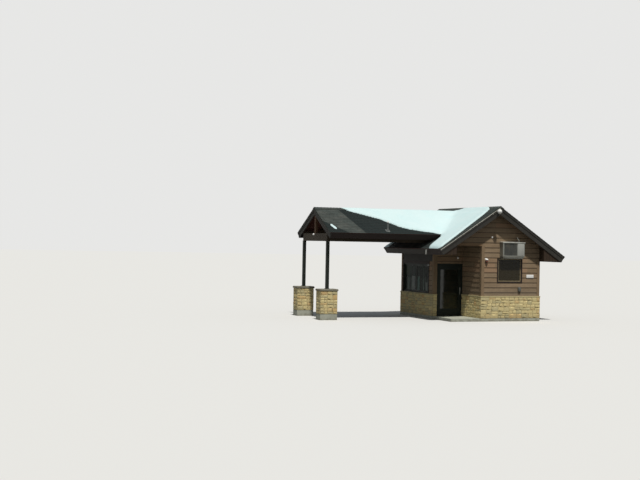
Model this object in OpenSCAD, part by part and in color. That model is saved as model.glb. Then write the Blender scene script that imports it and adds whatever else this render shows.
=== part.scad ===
// Security guard booth with a drive-through canopy on two stone piers.
// X runs along the front of the booth, Y runs back from its front wall, Z is up.
// The origin lies on level ground, under the ridge and in the plane of the front wall.

/* [Booth walls] */
// Ridge line to the outer face of the lane-side wall
wall_left = 1955; // [1700:5:2300]
// Ridge line to the outer face of the far wall
wall_right = 2110; // [1800:10:2500]
// Front face to back face of the booth
booth_d = 4720; // [4400:10:6000]
// Thickness of every wall
wall_t = 140; // [100:5:200]
// Floor slab, ground to floor
slab_t = 125; // [80:5:250]
// Top of the stone wainscot above the ground
wainscot_top = 1000; // [800:10:1000]
// Thickness of the stone wainscot in front of the wall
stone_t = 45; // [30:5:70]
// Thickness of the sloped cap on the wainscot
stone_cap_t = 45; // [30:5:60]

/* [Porch] */
// Width of the recessed porch, from the lane-side face
porch_w = 1363; // [1200:1:1500]
// Depth of the porch from the front face to the door wall
porch_d = 1630; // [1300:10:1700]
// Roof underside at the lane-side wall to the lower edge of the gable wall
header_drop = 150; // [140:2:300]
// Height of the pale strip along that edge
header_strip_h = 85; // [50:5:120]

/* [Main roof] */
// Top of the roof at the lane-side eave edge
eave_z = 2942; // [2900:2:3200]
// Rise of the main roof for each unit of run
pitch = 0.65; // [0.6:0.01:0.7]
// Ridge to the eave edge on the lane side
run_left = 2720; // [2550:10:2800]
// Ridge to the eave edge on the far side
run_right = 3085; // [2850:10:3150]
// Overhang in front of the front wall
overhang_front = 420; // [300:10:600]
// Overhang behind the back wall
overhang_back = 350; // [250:10:500]
// Rafters and boards together, square to the slope
roof_t = 150; // [100:5:170]
// Shingle layer, square to the slope
shingle_t = 14; // [8:1:25]
// How far the shingles reach past the boards
shingle_over = 18; // [5:1:30]
// Depth of the barge boards and fascias, square to the slope
barge_d = 265; // [220:5:300]
// Thickness of the barge boards and fascias
barge_t = 40; // [25:5:60]
// Depth of the upper trim strip on the barge boards
barge_trim_d = 95; // [60:5:120]
// Thickness of that trim strip
barge_trim_t = 20; // [12:1:30]
// Thickness of the soffit boards
soffit_t = 20; // [12:1:30]

/* [Canopy] */
// Middle of the canopy behind the front wall
canopy_y = 3000; // [2900:10:3100]
// Middle of the canopy to its eave edges
canopy_half = 1920; // [1700:10:1950]
// Main ridge down to the canopy ridge
canopy_ridge_drop = 150; // [40:5:250]
// Rise of the canopy roof for each unit of run
canopy_pitch = 0.54; // [0.5:0.005:0.6]
// Ridge line of the booth to the outer end of the canopy
canopy_reach = 6840; // [5500:20:7500]
// Roof boards and shingles of the canopy together, square to the slope
canopy_t = 60; // [40:5:80]
// Depth of the canopy's barge boards and fascias, square to the slope
canopy_barge_d = 245; // [200:5:280]
// Outer end of the canopy to the middle of its posts
post_inset = 95; // [95:5:400]
// Middle of the canopy to the middle of each post
post_spread = 1350; // [1200:10:1400]
// Width of the square posts
post_w = 120; // [80:2:140]
// Eave edges of the canopy down to the top of the tie beam
tie_drop = 30; // [0:5:60]
// Depth of the tie beam
beam_d = 315; // [200:5:330]
// Width of the tie beam and of the side beams
beam_w = 90; // [70:5:120]
// Width of the square king post
king_w = 140; // [100:5:160]
// Depth of the canopy rafters below its boards, square to the slope
rafter_d = 180; // [150:5:200]
// Width of the canopy rafters
rafter_w = 45; // [38:1:60]
// Number of rafter pairs between the end truss and the booth
rafter_pairs = 5; // [3:1:7]

/* [Stone piers] */
// Width of a pier along the canopy
pier_w = 730; // [500:10:800]
// Depth of a pier across the canopy
pier_d = 480; // [400:10:600]
// Ground to the top of the pier cap
pier_h = 1250; // [900:10:1500]
// Thickness of the pier cap
pier_cap_t = 75; // [50:5:120]
// How far the cap stands past the stone
pier_cap_over = 30; // [15:5:60]
// Bevel round the top of the cap
pier_cap_bevel = 22; // [5:1:40]
// Height of the concrete base below the stone
pier_base_h = 240; // [120:10:400]

/* [Lane window] */
// Width of the window opening
window_w = 2460; // [1800:10:2500]
// Height of the window opening
window_h = 1230; // [1000:10:1240]
// Cap of the stone wainscot to the sill of the window
sill_lift = 5; // [2:1:60]
// Window opening to the back corner of the booth
window_to_back = 160; // [150:5:300]
// Width of the window's frame members
frame_w = 45; // [35:1:70]
// Depth of the window's frame members
frame_d = 90; // [60:5:110]
// Width of the sliding sashes' members
sash_w = 55; // [35:1:70]
// Thickness of a sash
sash_t = 28; // [20:1:32]
// Overlap of the two sashes in the middle
sash_lap = 20; // [5:1:40]
// Thickness of the glass
glass_t = 8; // [4:1:14]
// Height of the casing over the window
head_casing = 130; // [80:5:150]

/* [Front window] */
// Ridge line to the near edge of the opening
front_window_x = 160; // [60:10:300]
// Width of the opening
front_window_w = 1090; // [800:10:1200]
// Height of the opening
front_window_h = 945; // [800:5:960]
// Sill above the ground
front_window_sill = 1643; // [1600:1:1700]
// Width of its frame members
front_frame_w = 38; // [25:1:60]
// Width of the blind's slats
slat_w = 50; // [35:1:60]

/* [Door] */
// Height of the door leaf
leaf_h = 2134; // [2000:2:2180]
// Thickness of the door leaf
leaf_t = 45; // [40:1:55]
// Width of the door frame members at the hinges and at the head
jamb_w = 50; // [40:1:60]
// Width of the door frame member at the lock
lock_jamb_w = 80; // [75:1:100]
// Gap under the door leaf, with the threshold half as high
leaf_under = 12; // [10:1:20]
// Gap round the door leaf
leaf_gap = 6; // [5:1:10]
// Width of the stiles
stile_w = 120; // [80:5:140]
// Depth of the top rail
top_rail = 195; // [100:5:220]
// Depth of the bottom rail
bottom_rail = 300; // [200:10:400]
// How far the leaf opens for a look at it, closed is 0
door_open = 0; // [0:1:100]

/* [Trim] */
// Width of the corner boards and window casings
trim_w = 100; // [70:5:120]
// Thickness of the corner boards and window casings
trim_t = 28; // [20:1:40]
// Depth of the frieze board under the far soffit
frieze_d = 140; // [100:5:200]

/* [Fixtures] */
// Width of the cooler over the front window
cooler_w = 1065; // [800:5:1100]
// Height of the cooler
cooler_h = 700; // [500:10:720]
// How far the cooler stands out from the wall
cooler_out = 300; // [200:10:320]
// Number of louvre blades in its front panel
cooler_blades = 12; // [6:1:16]
// Diameter of the globe lamp at the ridge
globe_d = 190; // [150:5:230]
// Ridge line of the booth to the vent pipe on the canopy
vent_reach = 4260; // [3300:10:6000]
// Height of the vent pipe above the shingles
vent_h = 360; // [200:10:500]

/* [Hidden] */
$fn = 48;
eps = 1;
big = 20000;
// Clearance where pieces meet on a slope
seat = 0.2;

// Main roof, seen along Y
slope = atan(pitch);
ridge_z = eave_z + pitch * run_left;
function roof_top(x) = ridge_z - pitch * abs(x);
function roof_under(x) = roof_top(x) - roof_t / cos(slope);
function wall_top(x) = roof_under(x) - seat;
// The point s up the slope from the eave edge and d below the top, square to it
function on_slope(run, s, d) =
    [run - s * cos(slope) - d * sin(slope), roof_top(run) + s * sin(slope) - d * cos(slope)];
shingle_line = ridge_z - shingle_t / cos(slope);
roof_y0 = -overhang_front;
roof_y1 = booth_d + overhang_back;
box_y0 = roof_y0 + barge_t;
box_y1 = roof_y1 - barge_t;
cap_half = 150;
// Level soffits at the inner foot of each fascia
function soffit_z(run) = floor(on_slope(run, barge_t, shingle_t + barge_d)[1]);
soffit_left_z = soffit_z(run_left);
soffit_right_z = soffit_z(run_right);
header_z = floor(roof_under(wall_left) - header_drop);

// Booth plan
return_x = -wall_left + porch_w;
inner_left = -wall_left + wall_t;
inner_right = wall_right - wall_t;
inner_back = booth_d - wall_t;

// Canopy, seen along X
canopy_ridge_z = ridge_z - canopy_ridge_drop;
canopy_slope = atan(canopy_pitch);
function canopy_top(y) = canopy_ridge_z - canopy_pitch * abs(y - canopy_y);
function canopy_under(y) = canopy_top(y) - canopy_t / cos(canopy_slope);
eave_y = canopy_y - canopy_half;
canopy_eave_z = canopy_top(eave_y);
// The point s up the canopy's slope from its eave edge and d below the top, square to it
function on_canopy(s, d) =
    [eave_y + s * cos(canopy_slope) + d * sin(canopy_slope),
     canopy_eave_z + s * sin(canopy_slope) - d * cos(canopy_slope)];
canopy_shingle_line = canopy_ridge_z - shingle_t / cos(canopy_slope);
canopy_x0 = -canopy_reach;
post_x = canopy_x0 + post_inset;
post_y = canopy_y - post_spread;
rafter_inset = 800;
tie_top = canopy_eave_z - tie_drop;
beam_clear = tie_top - beam_d;
function rafter_under(y) = canopy_under(y) - rafter_d / cos(canopy_slope);
side_beam_top = rafter_under(post_y + beam_w / 2);

// Window and door openings
window_sill = wainscot_top + stone_cap_t + sill_lift;
window_y1 = booth_d - window_to_back;
window_y0 = window_y1 - window_w;
window_head = window_sill + window_h;
window_inset = 5;
front_window_head = front_window_sill + front_window_h;
opening_x0 = inner_left;
opening_x1 = return_x;
door_head = slab_t + leaf_under + leaf_h + leaf_gap + jamb_w;
leaf_x0 = opening_x0 + jamb_w + leaf_gap;
leaf_x1 = opening_x1 - lock_jamb_w - leaf_gap;
leaf_z0 = slab_t + leaf_under;
leaf_z1 = leaf_z0 + leaf_h;
leaf_y0 = porch_d;
leaf_y1 = leaf_y0 + leaf_t;
hinge_d = 14;
hinge_h = 120;
hinge_plate = 35;
hinge_plate_t = 3;
hinge_x = leaf_x0 - leaf_gap / 2;
hinge_y = porch_d - hinge_d / 2 - 1;
hinge_heights = [leaf_z0 + 200, (leaf_z0 + leaf_z1) / 2, leaf_z1 - 200];
stop_t = 15;

// Colours as the photograph shows them
siding_brown = [0.45, 0.33, 0.26];
trim_brown = [0.24, 0.19, 0.17];
stone_tan = [0.68, 0.57, 0.42];
concrete_grey = [0.62, 0.61, 0.58];
shingle_grey = [0.17, 0.18, 0.19];
timber_brown = [0.33, 0.22, 0.16];
steel_black = [0.09, 0.09, 0.10];
glass_green = [0.10, 0.16, 0.15];
metal_grey = [0.60, 0.61, 0.60];
frame_beige = [0.62, 0.56, 0.47];
blind_olive = [0.24, 0.20, 0.13];
lamp_white = [0.93, 0.93, 0.90];

// A box between two corners
module block(a, b) {
    translate(a) cube(b - a);
}

// A profile in X and Z, drawn out along Y
module along_y(y0, y1) {
    translate([0, y1, 0]) rotate([90, 0, 0]) linear_extrude(y1 - y0) children();
}

// A profile in Y and Z, drawn out along X
module along_x(x0, x1) {
    translate([x0, 0, 0]) rotate([90, 0, 90]) linear_extrude(x1 - x0) children();
}

// Everything under the top of the main roof's lane-side slope
module under_main_roof() {
    along_y(-big / 4, big / 2)
        polygon([[0, ridge_z], [-run_left, roof_top(run_left)], [-run_left, -eps], [wall_right, -eps],
                 [wall_right, ridge_z]]);
}

// The same piece on both sides of the canopy's middle
module both_sides() {
    children();
    translate([0, 2 * canopy_y, 0]) mirror([0, 1, 0]) children();
}

// Wall pieces

module floor_slab() {
    color(concrete_grey)
        block([-wall_left - stone_t, -stone_t, 0], [wall_right + stone_t, booth_d + stone_t, slab_t]);
}

module left_wall() {
    color(siding_brown) difference() {
        along_y(porch_d, inner_back)
            polygon([[-wall_left, slab_t], [inner_left, slab_t],
                     [inner_left, wall_top(inner_left)], [-wall_left, wall_top(wall_left)]]);
        block([-wall_left - eps, window_y0, window_sill], [inner_left + eps, window_y1, window_head]);
    }
}

module right_wall() {
    color(siding_brown) along_y(wall_t, inner_back)
        polygon([[inner_right, slab_t], [wall_right, slab_t],
                 [wall_right, wall_top(wall_right)], [inner_right, wall_top(inner_right)]]);
}

module gable_outline(z0) {
    polygon([[-wall_left, z0], [wall_right, z0], [wall_right, wall_top(wall_right)],
             [0, wall_top(0)], [-wall_left, wall_top(wall_left)]]);
}

module back_wall() {
    color(siding_brown) along_y(inner_back, booth_d) gable_outline(slab_t);
}

module front_gable() {
    color(siding_brown) along_y(0, wall_t) gable_outline(header_z);
}

module front_wall() {
    color(siding_brown) difference() {
        block([return_x, 0, slab_t], [wall_right, wall_t, header_z]);
        block([front_window_x, -eps, front_window_sill],
              [front_window_x + front_window_w, wall_t + eps, front_window_head]);
    }
}

module return_wall() {
    color(siding_brown)
        block([return_x, wall_t, slab_t], [return_x + wall_t, porch_d + wall_t, header_z]);
}

module door_wall() {
    color(siding_brown)
        block([inner_left, porch_d, door_head], [return_x, porch_d + wall_t, header_z]);
}

// The beam over the open side of the porch, which carries the eave
module porch_side_beam() {
    color(trim_brown) difference() {
        along_y(0, porch_d)
            polygon([[-wall_left, soffit_left_z], [inner_left, soffit_left_z],
                     [inner_left, wall_top(inner_left)], [-wall_left, wall_top(wall_left)]]);
        block([-wall_left - eps, -eps, header_z], [inner_left + eps, wall_t, ridge_z]);
    }
}

module ceiling() {
    color(trim_brown)
        block([inner_left, wall_t, header_z], [inner_right, inner_back, header_z + soffit_t]);
}

// A ring of facing round the outside of the booth, open at the doorway
module skirting_outline(out) {
    difference() {
        union() {
            translate([-wall_left - out, porch_d - out])
                square([wall_left + wall_right + 2 * out, booth_d - porch_d + 2 * out]);
            translate([return_x - out, -out]) square([wall_right - return_x + 2 * out, booth_d]);
        }
        translate([-wall_left, porch_d]) square([wall_left + wall_right, booth_d - porch_d]);
        translate([return_x, 0]) square([wall_right - return_x, booth_d]);
        translate([inner_left, porch_d - out - eps]) square([return_x - out - inner_left, out + 2 * eps]);
    }
}

module stone_wainscot() {
    color(stone_tan) translate([0, 0, slab_t])
        linear_extrude(wainscot_top - slab_t) skirting_outline(stone_t);
}

module wainscot_cap() {
    color(stone_tan) translate([0, 0, wainscot_top])
        linear_extrude(stone_cap_t) skirting_outline(stone_t + stone_cap_t / 3);
}

module corner_boards() {
    z0 = wainscot_top + stone_cap_t;
    color(trim_brown) {
        block([-wall_left - trim_t, porch_d - trim_t, z0], [-wall_left, porch_d + trim_w, soffit_left_z]);
        block([-wall_left, porch_d - trim_t, z0], [inner_left, porch_d, soffit_left_z]);
        block([-wall_left - trim_t, booth_d - trim_w, z0], [-wall_left, booth_d + trim_t, soffit_left_z]);
        block([-wall_left, booth_d, z0], [-wall_left + trim_w, booth_d + trim_t, soffit_left_z]);
        block([return_x - trim_t, -trim_t, z0], [return_x + trim_w, 0, header_z]);
        block([return_x - trim_t, 0, z0], [return_x, trim_w, header_z]);
        block([wall_right - trim_w, -trim_t, z0], [wall_right + trim_t, 0, soffit_right_z]);
        block([wall_right, 0, z0], [wall_right + trim_t, trim_w, soffit_right_z]);
        block([wall_right, booth_d - trim_w, z0], [wall_right + trim_t, booth_d + trim_t, soffit_right_z]);
        block([wall_right - trim_w, booth_d, z0], [wall_right, booth_d + trim_t, soffit_right_z]);
    }
}

// Boards under both soffits and the pale strip over the porch
module frieze_boards() {
    thin = trim_t / 2;
    color(trim_brown) {
        block([-wall_left - thin, porch_d + trim_w, window_head + head_casing],
              [-wall_left, booth_d - trim_w, soffit_left_z]);
        block([wall_right, trim_w, soffit_right_z - frieze_d],
              [wall_right + thin, booth_d - trim_w, soffit_right_z]);
        block([-wall_left, -trim_t, header_z - 15], [return_x - trim_t, 0, header_z + header_strip_h]);
    }
}

// Roof pieces

// One slope of the main roof with its shingles, drawn for a run on the +X side
module main_slope(run) {
    along_y(box_y0, box_y1)
        polygon([[0, (ridge_z + shingle_line) / 2], on_slope(run, barge_t + seat, shingle_t / 2),
                 on_slope(run, barge_t + seat, roof_t), [0, roof_under(0)]]);
    along_y(roof_y0 - shingle_over, roof_y1 + shingle_over)
        polygon([[0, ridge_z], on_slope(run, 0, 0), on_slope(run, 0, shingle_t), [0, shingle_line]]);
}

module roof_left() {
    color(shingle_grey) mirror([1, 0, 0]) main_slope(run_left);
}

module roof_right() {
    color(shingle_grey) main_slope(run_right);
}

// A folded cap of shingles over a ridge
module cap_outline(z, half, rise) {
    drop = half * rise;
    polygon([[0, z + seat], [half, z - drop + seat], [half, z - drop + shingle_t], [0, z + shingle_t],
             [-half, z - drop + shingle_t], [-half, z - drop + seat]]);
}

module ridge_caps() {
    color(shingle_grey) {
        along_y(roof_y0 - shingle_over, roof_y1 + shingle_over) cap_outline(ridge_z, cap_half, pitch);
        difference() {
            along_x(canopy_x0 - shingle_over, 0)
                translate([canopy_y, 0]) cap_outline(canopy_ridge_z, cap_half, canopy_pitch);
            under_main_roof();
        }
    }
}

// One barge board with a square-cut foot, drawn for a run on the +X side
module barge_outline(run, depth) {
    polygon([[0, shingle_line], on_slope(run, 0, shingle_t), on_slope(run, 0, shingle_t + depth),
             [0, shingle_line - depth / cos(slope)]]);
}

module barge_pair(y0, y1, depth) {
    along_y(y0, y1) {
        barge_outline(run_right, depth);
        mirror([1, 0]) barge_outline(run_left, depth);
    }
}

// A deep board with a shallow trim strip on its upper edge, at both gables
module barge_boards() {
    color(trim_brown) {
        barge_pair(roof_y0, box_y0, barge_d);
        barge_pair(roof_y0 - barge_trim_t, roof_y0, barge_trim_d);
        barge_pair(box_y1, roof_y1, barge_d);
        barge_pair(roof_y1, roof_y1 + barge_trim_t, barge_trim_d);
    }
}

// An eave board cut square to the slope, drawn for a run on the +X side
module fascia(run) {
    along_y(box_y0, box_y1)
        polygon([on_slope(run, 0, shingle_t + seat), on_slope(run, 0, shingle_t + barge_d),
                 on_slope(run, barge_t, shingle_t + barge_d), on_slope(run, barge_t, shingle_t + seat)]);
}

module eave_fascias() {
    color(trim_brown) {
        mirror([1, 0, 0]) fascia(run_left);
        fascia(run_right);
    }
}

// A level soffit board, with a tapered and a narrow board that close each end of the eave box
module eave_box(run, wall_x, z) {
    s = barge_t + seat;
    function back_x(z) = run - s * cos(slope) - (roof_top(run) + s * sin(slope) - z) * tan(slope);
    along_y(box_y0, box_y1)
        polygon([[wall_x, z], [back_x(z), z], [back_x(z + soffit_t), z + soffit_t], [wall_x, z + soffit_t]]);
    for (y = [box_y0, box_y1 - soffit_t])
        along_y(y, y + soffit_t)
            polygon([[wall_x, z], [back_x(z), z], on_slope(run, s, roof_t + seat), [wall_x, wall_top(wall_x)]]);
    for (y = [[box_y0, 0], [booth_d, box_y1]])
        along_y(y[0], y[1])
            polygon([[wall_x, z], [wall_x + soffit_t, z], [wall_x + soffit_t, wall_top(wall_x + soffit_t)],
                     [wall_x, wall_top(wall_x)]]);
}

module eave_soffits() {
    color(trim_brown) {
        mirror([1, 0, 0]) eave_box(run_left, wall_left, soffit_left_z);
        eave_box(run_right, wall_right, soffit_right_z);
    }
}

// Canopy pieces

// The slope on the -Y side, with its boards cut to the main roof
module canopy_slope_piece() {
    difference() {
        union() {
            along_x(canopy_x0 + barge_t, 0)
                polygon([[canopy_y, (canopy_ridge_z + canopy_shingle_line) / 2],
                         on_canopy(barge_t + seat, shingle_t / 2), on_canopy(barge_t + seat, canopy_t),
                         [canopy_y, canopy_under(canopy_y)]]);
            along_x(canopy_x0 - shingle_over, 0)
                polygon([[canopy_y, canopy_ridge_z], on_canopy(0, 0), on_canopy(0, shingle_t),
                         [canopy_y, canopy_shingle_line]]);
        }
        under_main_roof();
    }
}

module canopy_roof_front() {
    color(shingle_grey) canopy_slope_piece();
}

module canopy_roof_back() {
    color(shingle_grey) translate([0, 2 * canopy_y, 0]) mirror([0, 1, 0]) canopy_slope_piece();
}

module canopy_barge_outline(depth) {
    polygon([[canopy_y, canopy_shingle_line], on_canopy(0, shingle_t), on_canopy(0, shingle_t + depth),
             [canopy_y, canopy_shingle_line - depth / cos(canopy_slope)]]);
}

module canopy_barge_pair(x0, x1, depth) {
    along_x(x0, x1) {
        canopy_barge_outline(depth);
        translate([2 * canopy_y, 0]) mirror([1, 0]) canopy_barge_outline(depth);
    }
}

module canopy_barge_boards() {
    color(trim_brown) {
        canopy_barge_pair(canopy_x0, canopy_x0 + barge_t, canopy_barge_d);
        canopy_barge_pair(canopy_x0 - barge_trim_t, canopy_x0, barge_trim_d);
    }
}

module canopy_fascias() {
    color(trim_brown) both_sides() difference() {
        along_x(canopy_x0 + barge_t, 0)
            polygon([on_canopy(0, shingle_t + seat), on_canopy(0, shingle_t + canopy_barge_d),
                     on_canopy(barge_t, shingle_t + canopy_barge_d), on_canopy(barge_t, shingle_t + seat)]);
        under_main_roof();
    }
}

// The ridge beam, and two side beams from the tie beam to the main roof
module canopy_beams() {
    y0 = canopy_y - beam_w / 2;
    y1 = canopy_y + beam_w / 2;
    color(timber_brown) {
        difference() {
            along_x(post_x + beam_w / 2, 0)
                polygon([[y0, rafter_under(y0)], [y1, rafter_under(y1)], [y1, canopy_under(y1) - seat],
                         [canopy_y, canopy_under(canopy_y) - seat], [y0, canopy_under(y0) - seat]]);
            under_main_roof();
        }
        both_sides() difference() {
            block([post_x + beam_w / 2, post_y - beam_w / 2, beam_clear],
                  [0, post_y + beam_w / 2, side_beam_top]);
            under_main_roof();
        }
    }
}

module tie_beam() {
    color(timber_brown)
        block([post_x - beam_w / 2, post_y - beam_w / 2, beam_clear],
              [post_x + beam_w / 2, 2 * canopy_y - post_y + beam_w / 2, tie_top]);
}

module king_post() {
    half = king_w / 2;
    top = canopy_under(canopy_y + half) - seat;
    color(timber_brown)
        along_x(post_x - beam_w / 2, post_x + beam_w / 2)
            polygon([[canopy_y - half, tie_top], [canopy_y + half, tie_top],
                     [canopy_y + half, top], [canopy_y, canopy_under(canopy_y) - seat],
                     [canopy_y - half, top]]);
}

// A rafter from the eave to the ridge beam, with a level seat cut over the side beam
module rafter(x) {
    y1 = canopy_y - beam_w / 2;
    difference() {
        along_x(x - rafter_w / 2, x + rafter_w / 2)
            polygon([on_canopy(barge_t + seat, canopy_t + seat), on_canopy(barge_t + seat, canopy_t + rafter_d),
                     [y1, rafter_under(y1)], [y1, canopy_under(y1) - seat]]);
        block([x - rafter_w, post_y - beam_w / 2 - seat, beam_clear],
              [x + rafter_w, post_y + beam_w / 2 + seat, side_beam_top + seat]);
    }
}

module canopy_rafters() {
    first = post_x + rafter_inset;
    last = -run_left - rafter_inset / 2;
    color(timber_brown) both_sides() for (i = [0 : rafter_pairs - 1])
        rafter(first + i * (last - first) / (rafter_pairs - 1));
}

// Post and pier pieces

// A square post between a base plate on the pier cap and a head plate under the beams
module canopy_posts() {
    plate_over = 30;
    plate_t = 12;
    half = post_w / 2;
    wide = half + plate_over;
    color(steel_black) both_sides() {
        block([post_x - half, post_y - half, pier_h], [post_x + half, post_y + half, beam_clear]);
        block([post_x - wide, post_y - wide, pier_h], [post_x + wide, post_y + wide, pier_h + plate_t]);
        block([post_x - half - 10, post_y - half, beam_clear - plate_t],
              [post_x + half + 10, post_y + half, beam_clear]);
    }
}

module stone_piers() {
    color(stone_tan) both_sides()
        block([post_x - pier_w / 2, post_y - pier_d / 2, pier_base_h],
              [post_x + pier_w / 2, post_y + pier_d / 2, pier_h - pier_cap_t]);
}

// A slab with a bevel round its top, drawn through its middle
module cap_profile(half) {
    polygon([[-half, pier_h - pier_cap_t], [half, pier_h - pier_cap_t], [half, pier_h - pier_cap_bevel],
             [half - pier_cap_bevel, pier_h], [-half + pier_cap_bevel, pier_h],
             [-half, pier_h - pier_cap_bevel]]);
}

// The caps on the piers and the concrete bases below their stone
module pier_caps() {
    half_w = pier_w / 2 + pier_cap_over;
    half_d = pier_d / 2 + pier_cap_over;
    color(concrete_grey) both_sides() {
        intersection() {
            along_y(post_y - half_d, post_y + half_d) translate([post_x, 0]) cap_profile(half_w);
            along_x(post_x - half_w, post_x + half_w) translate([post_y, 0]) cap_profile(half_d);
        }
        block([post_x - pier_w / 2, post_y - pier_d / 2, 0],
              [post_x + pier_w / 2, post_y + pier_d / 2, pier_base_h]);
    }
}

// Windows

// Four members round a rectangle, with the members' width given
module frame_outline(w, h, member) {
    difference() {
        square([w, h]);
        translate([member, member]) square([w - 2 * member, h - 2 * member]);
    }
}

// A shape drawn in the plane of the lane-side wall, from its face at x towards the room
module on_left_wall(x, y, z, t) {
    translate([x, y, z]) rotate([90, 0, 90]) linear_extrude(t) children();
}

// A shape drawn in the plane of the front wall, from y0 towards the room
module on_front_wall(x, y0, z, t) {
    translate([x, y0 + t, z]) rotate([90, 0, 0]) linear_extrude(t) children();
}

clear_w = window_w - 2 * frame_w;
clear_h = window_h - 2 * frame_w;
sash_full = (clear_w + sash_lap) / 2;
sash_x = -wall_left + window_inset + 15;
sash_z = window_sill + frame_w;
// Each sash is [face, edge nearest the porch]
sashes = [[sash_x, window_y0 + frame_w], [sash_x + sash_t + 2, window_y1 - frame_w - sash_full]];

module lane_window_frame() {
    color(trim_brown)
        on_left_wall(-wall_left + window_inset, window_y0, window_sill, frame_d)
            frame_outline(window_w, window_h, frame_w);
}

module lane_window_sashes() {
    color(steel_black) for (s = sashes)
        on_left_wall(s[0], s[1], sash_z, sash_t) frame_outline(sash_full, clear_h, sash_w);
}

front_frame_d = 60;
front_frame_y = 12;

module window_glass() {
    color(glass_green) {
        for (s = sashes)
            on_left_wall(s[0] + (sash_t - glass_t) / 2, s[1] + sash_w, sash_z + sash_w, glass_t)
                square([sash_full - 2 * sash_w, clear_h - 2 * sash_w]);
        on_front_wall(front_window_x + front_frame_w, front_frame_y + 10,
                      front_window_sill + front_frame_w, glass_t)
            square([front_window_w - 2 * front_frame_w, front_window_h - 2 * front_frame_w]);
    }
}

module front_window_frame() {
    color(frame_beige)
        on_front_wall(front_window_x, front_frame_y, front_window_sill, front_frame_d)
            frame_outline(front_window_w, front_window_h, front_frame_w);
}

// A closed blind: tilted slats on two tapes under a head rail
module front_window_blind() {
    rail = 40;
    tape_w = 25;
    tilt = 70;
    y = front_frame_y + front_frame_d - rail / 2 - 2;
    x0 = front_window_x + front_frame_w + 5;
    x1 = front_window_x + front_window_w - front_frame_w - 5;
    z1 = front_window_head - front_frame_w - 2;
    z0 = front_window_sill + front_frame_w + 10;
    step = slat_w * 0.84;
    count = floor((z1 - rail - z0) / step);
    color(blind_olive) {
        block([x0, y - rail / 2 + 5, z1 - rail], [x1, y + rail / 2 - 5, z1]);
        for (i = [0 : count - 1])
            translate([x0, y, z1 - rail - (i + 0.5) * step]) rotate([tilt, 0, 0])
                translate([0, -slat_w / 2, -1]) cube([x1 - x0, slat_w, 2]);
        for (x = [x0 + (x1 - x0) / 6, x1 - (x1 - x0) / 6])
            block([x, y - 4, z1 - rail - count * step], [x + tape_w, y + 4, z1 - rail]);
    }
}

// Flat boards round a window opening, with the bottom board left out at 0
module casing_outline(w, h, side, top, bottom) {
    difference() {
        translate([-side, -bottom]) square([w + 2 * side, h + top + bottom]);
        translate([0, bottom > 0 ? 0 : -eps]) square([w, h + (bottom > 0 ? 0 : eps)]);
    }
}

module window_casings() {
    color(trim_brown) {
        on_left_wall(-wall_left - trim_t, window_y0, window_sill, trim_t)
            casing_outline(window_w, window_h, window_to_back - trim_w, head_casing, 0);
        on_front_wall(front_window_x, -trim_t, front_window_sill, trim_t)
            casing_outline(front_window_w, front_window_h, trim_w / 2, 10, trim_w / 2);
    }
}

// Door

// Frame members, the stops behind the leaf and the threshold under it
module door_frame() {
    x0 = opening_x0 + jamb_w;
    x1 = opening_x1 - lock_jamb_w;
    color(steel_black) {
        difference() {
            block([opening_x0, porch_d, slab_t], [opening_x1, porch_d + wall_t, door_head]);
            block([x0, porch_d - eps, slab_t - eps], [x1, leaf_y1 + leaf_gap, door_head - jamb_w]);
            block([x0 + stop_t, porch_d, slab_t - eps],
                  [x1 - stop_t, porch_d + wall_t + eps, door_head - jamb_w - stop_t]);
        }
        block([x0, porch_d, slab_t], [x1, porch_d + wall_t, slab_t + leaf_under / 2]);
    }
}

// A knuckle on the hinge axis, from z0 to z1 above the middle of the hinge
module knuckle(z, z0, z1) {
    translate([hinge_x, hinge_y, z + z0]) cylinder(d = hinge_d, h = z1 - z0);
}

// Each hinge has an outer pair of knuckles on the frame, and the leaf's knuckle between them
module door_hinges() {
    half = hinge_h / 2;
    color(steel_black) for (z = hinge_heights, side = [0, 1])
        mirror([0, 0, side]) translate([0, 0, side == 1 ? -2 * z : 0]) {
            knuckle(z, hinge_h / 6 + 1, half);
            block([hinge_x - hinge_plate, porch_d - hinge_plate_t, z + hinge_h / 6 + 1],
                  [hinge_x, porch_d, z + half]);
        }
}

module turned_door() {
    translate([hinge_x, hinge_y, 0]) rotate([0, 0, -door_open]) translate([-hinge_x, -hinge_y, 0]) children();
}

module door_leaf() {
    third = hinge_h / 6;
    color(steel_black) turned_door() {
        difference() {
            block([leaf_x0, leaf_y0, leaf_z0], [leaf_x1, leaf_y1, leaf_z1]);
            block([leaf_x0 + stile_w, leaf_y0 - eps, leaf_z0 + bottom_rail],
                  [leaf_x1 - stile_w, leaf_y1 + eps, leaf_z1 - top_rail]);
        }
        for (z = hinge_heights) {
            knuckle(z, -third, third);
            block([hinge_x, leaf_y0 - hinge_plate_t, z - third],
                  [leaf_x0 + hinge_plate, leaf_y0 + eps, z + third]);
        }
    }
}

module door_glass() {
    mid = (leaf_y0 + leaf_y1) / 2;
    color(glass_green) turned_door()
        block([leaf_x0 + stile_w, mid - glass_t / 2, leaf_z0 + bottom_rail],
              [leaf_x1 - stile_w, mid + glass_t / 2, leaf_z1 - top_rail]);
}

// An upright bar on two stand-offs
module door_pull() {
    x = leaf_x1 - stile_w / 2;
    out = 45;
    bar_h = 300;
    bar_z = leaf_z0 + 900;
    color(metal_grey) turned_door() {
        translate([x, leaf_y0 - out, bar_z]) cylinder(d = 22, h = bar_h);
        for (z = [bar_z + 40, bar_z + bar_h - 40])
            translate([x, leaf_y0, z]) rotate([90, 0, 0]) cylinder(d = 16, h = out);
    }
}

// Fixtures

cooler_x = front_window_x + front_window_w / 2 + 30;
cooler_z = front_window_head + 10;
cooler_lip = 22;
cooler_lid_h = 45;
cooler_tray_h = 90;
cooler_taper = 55;

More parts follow.
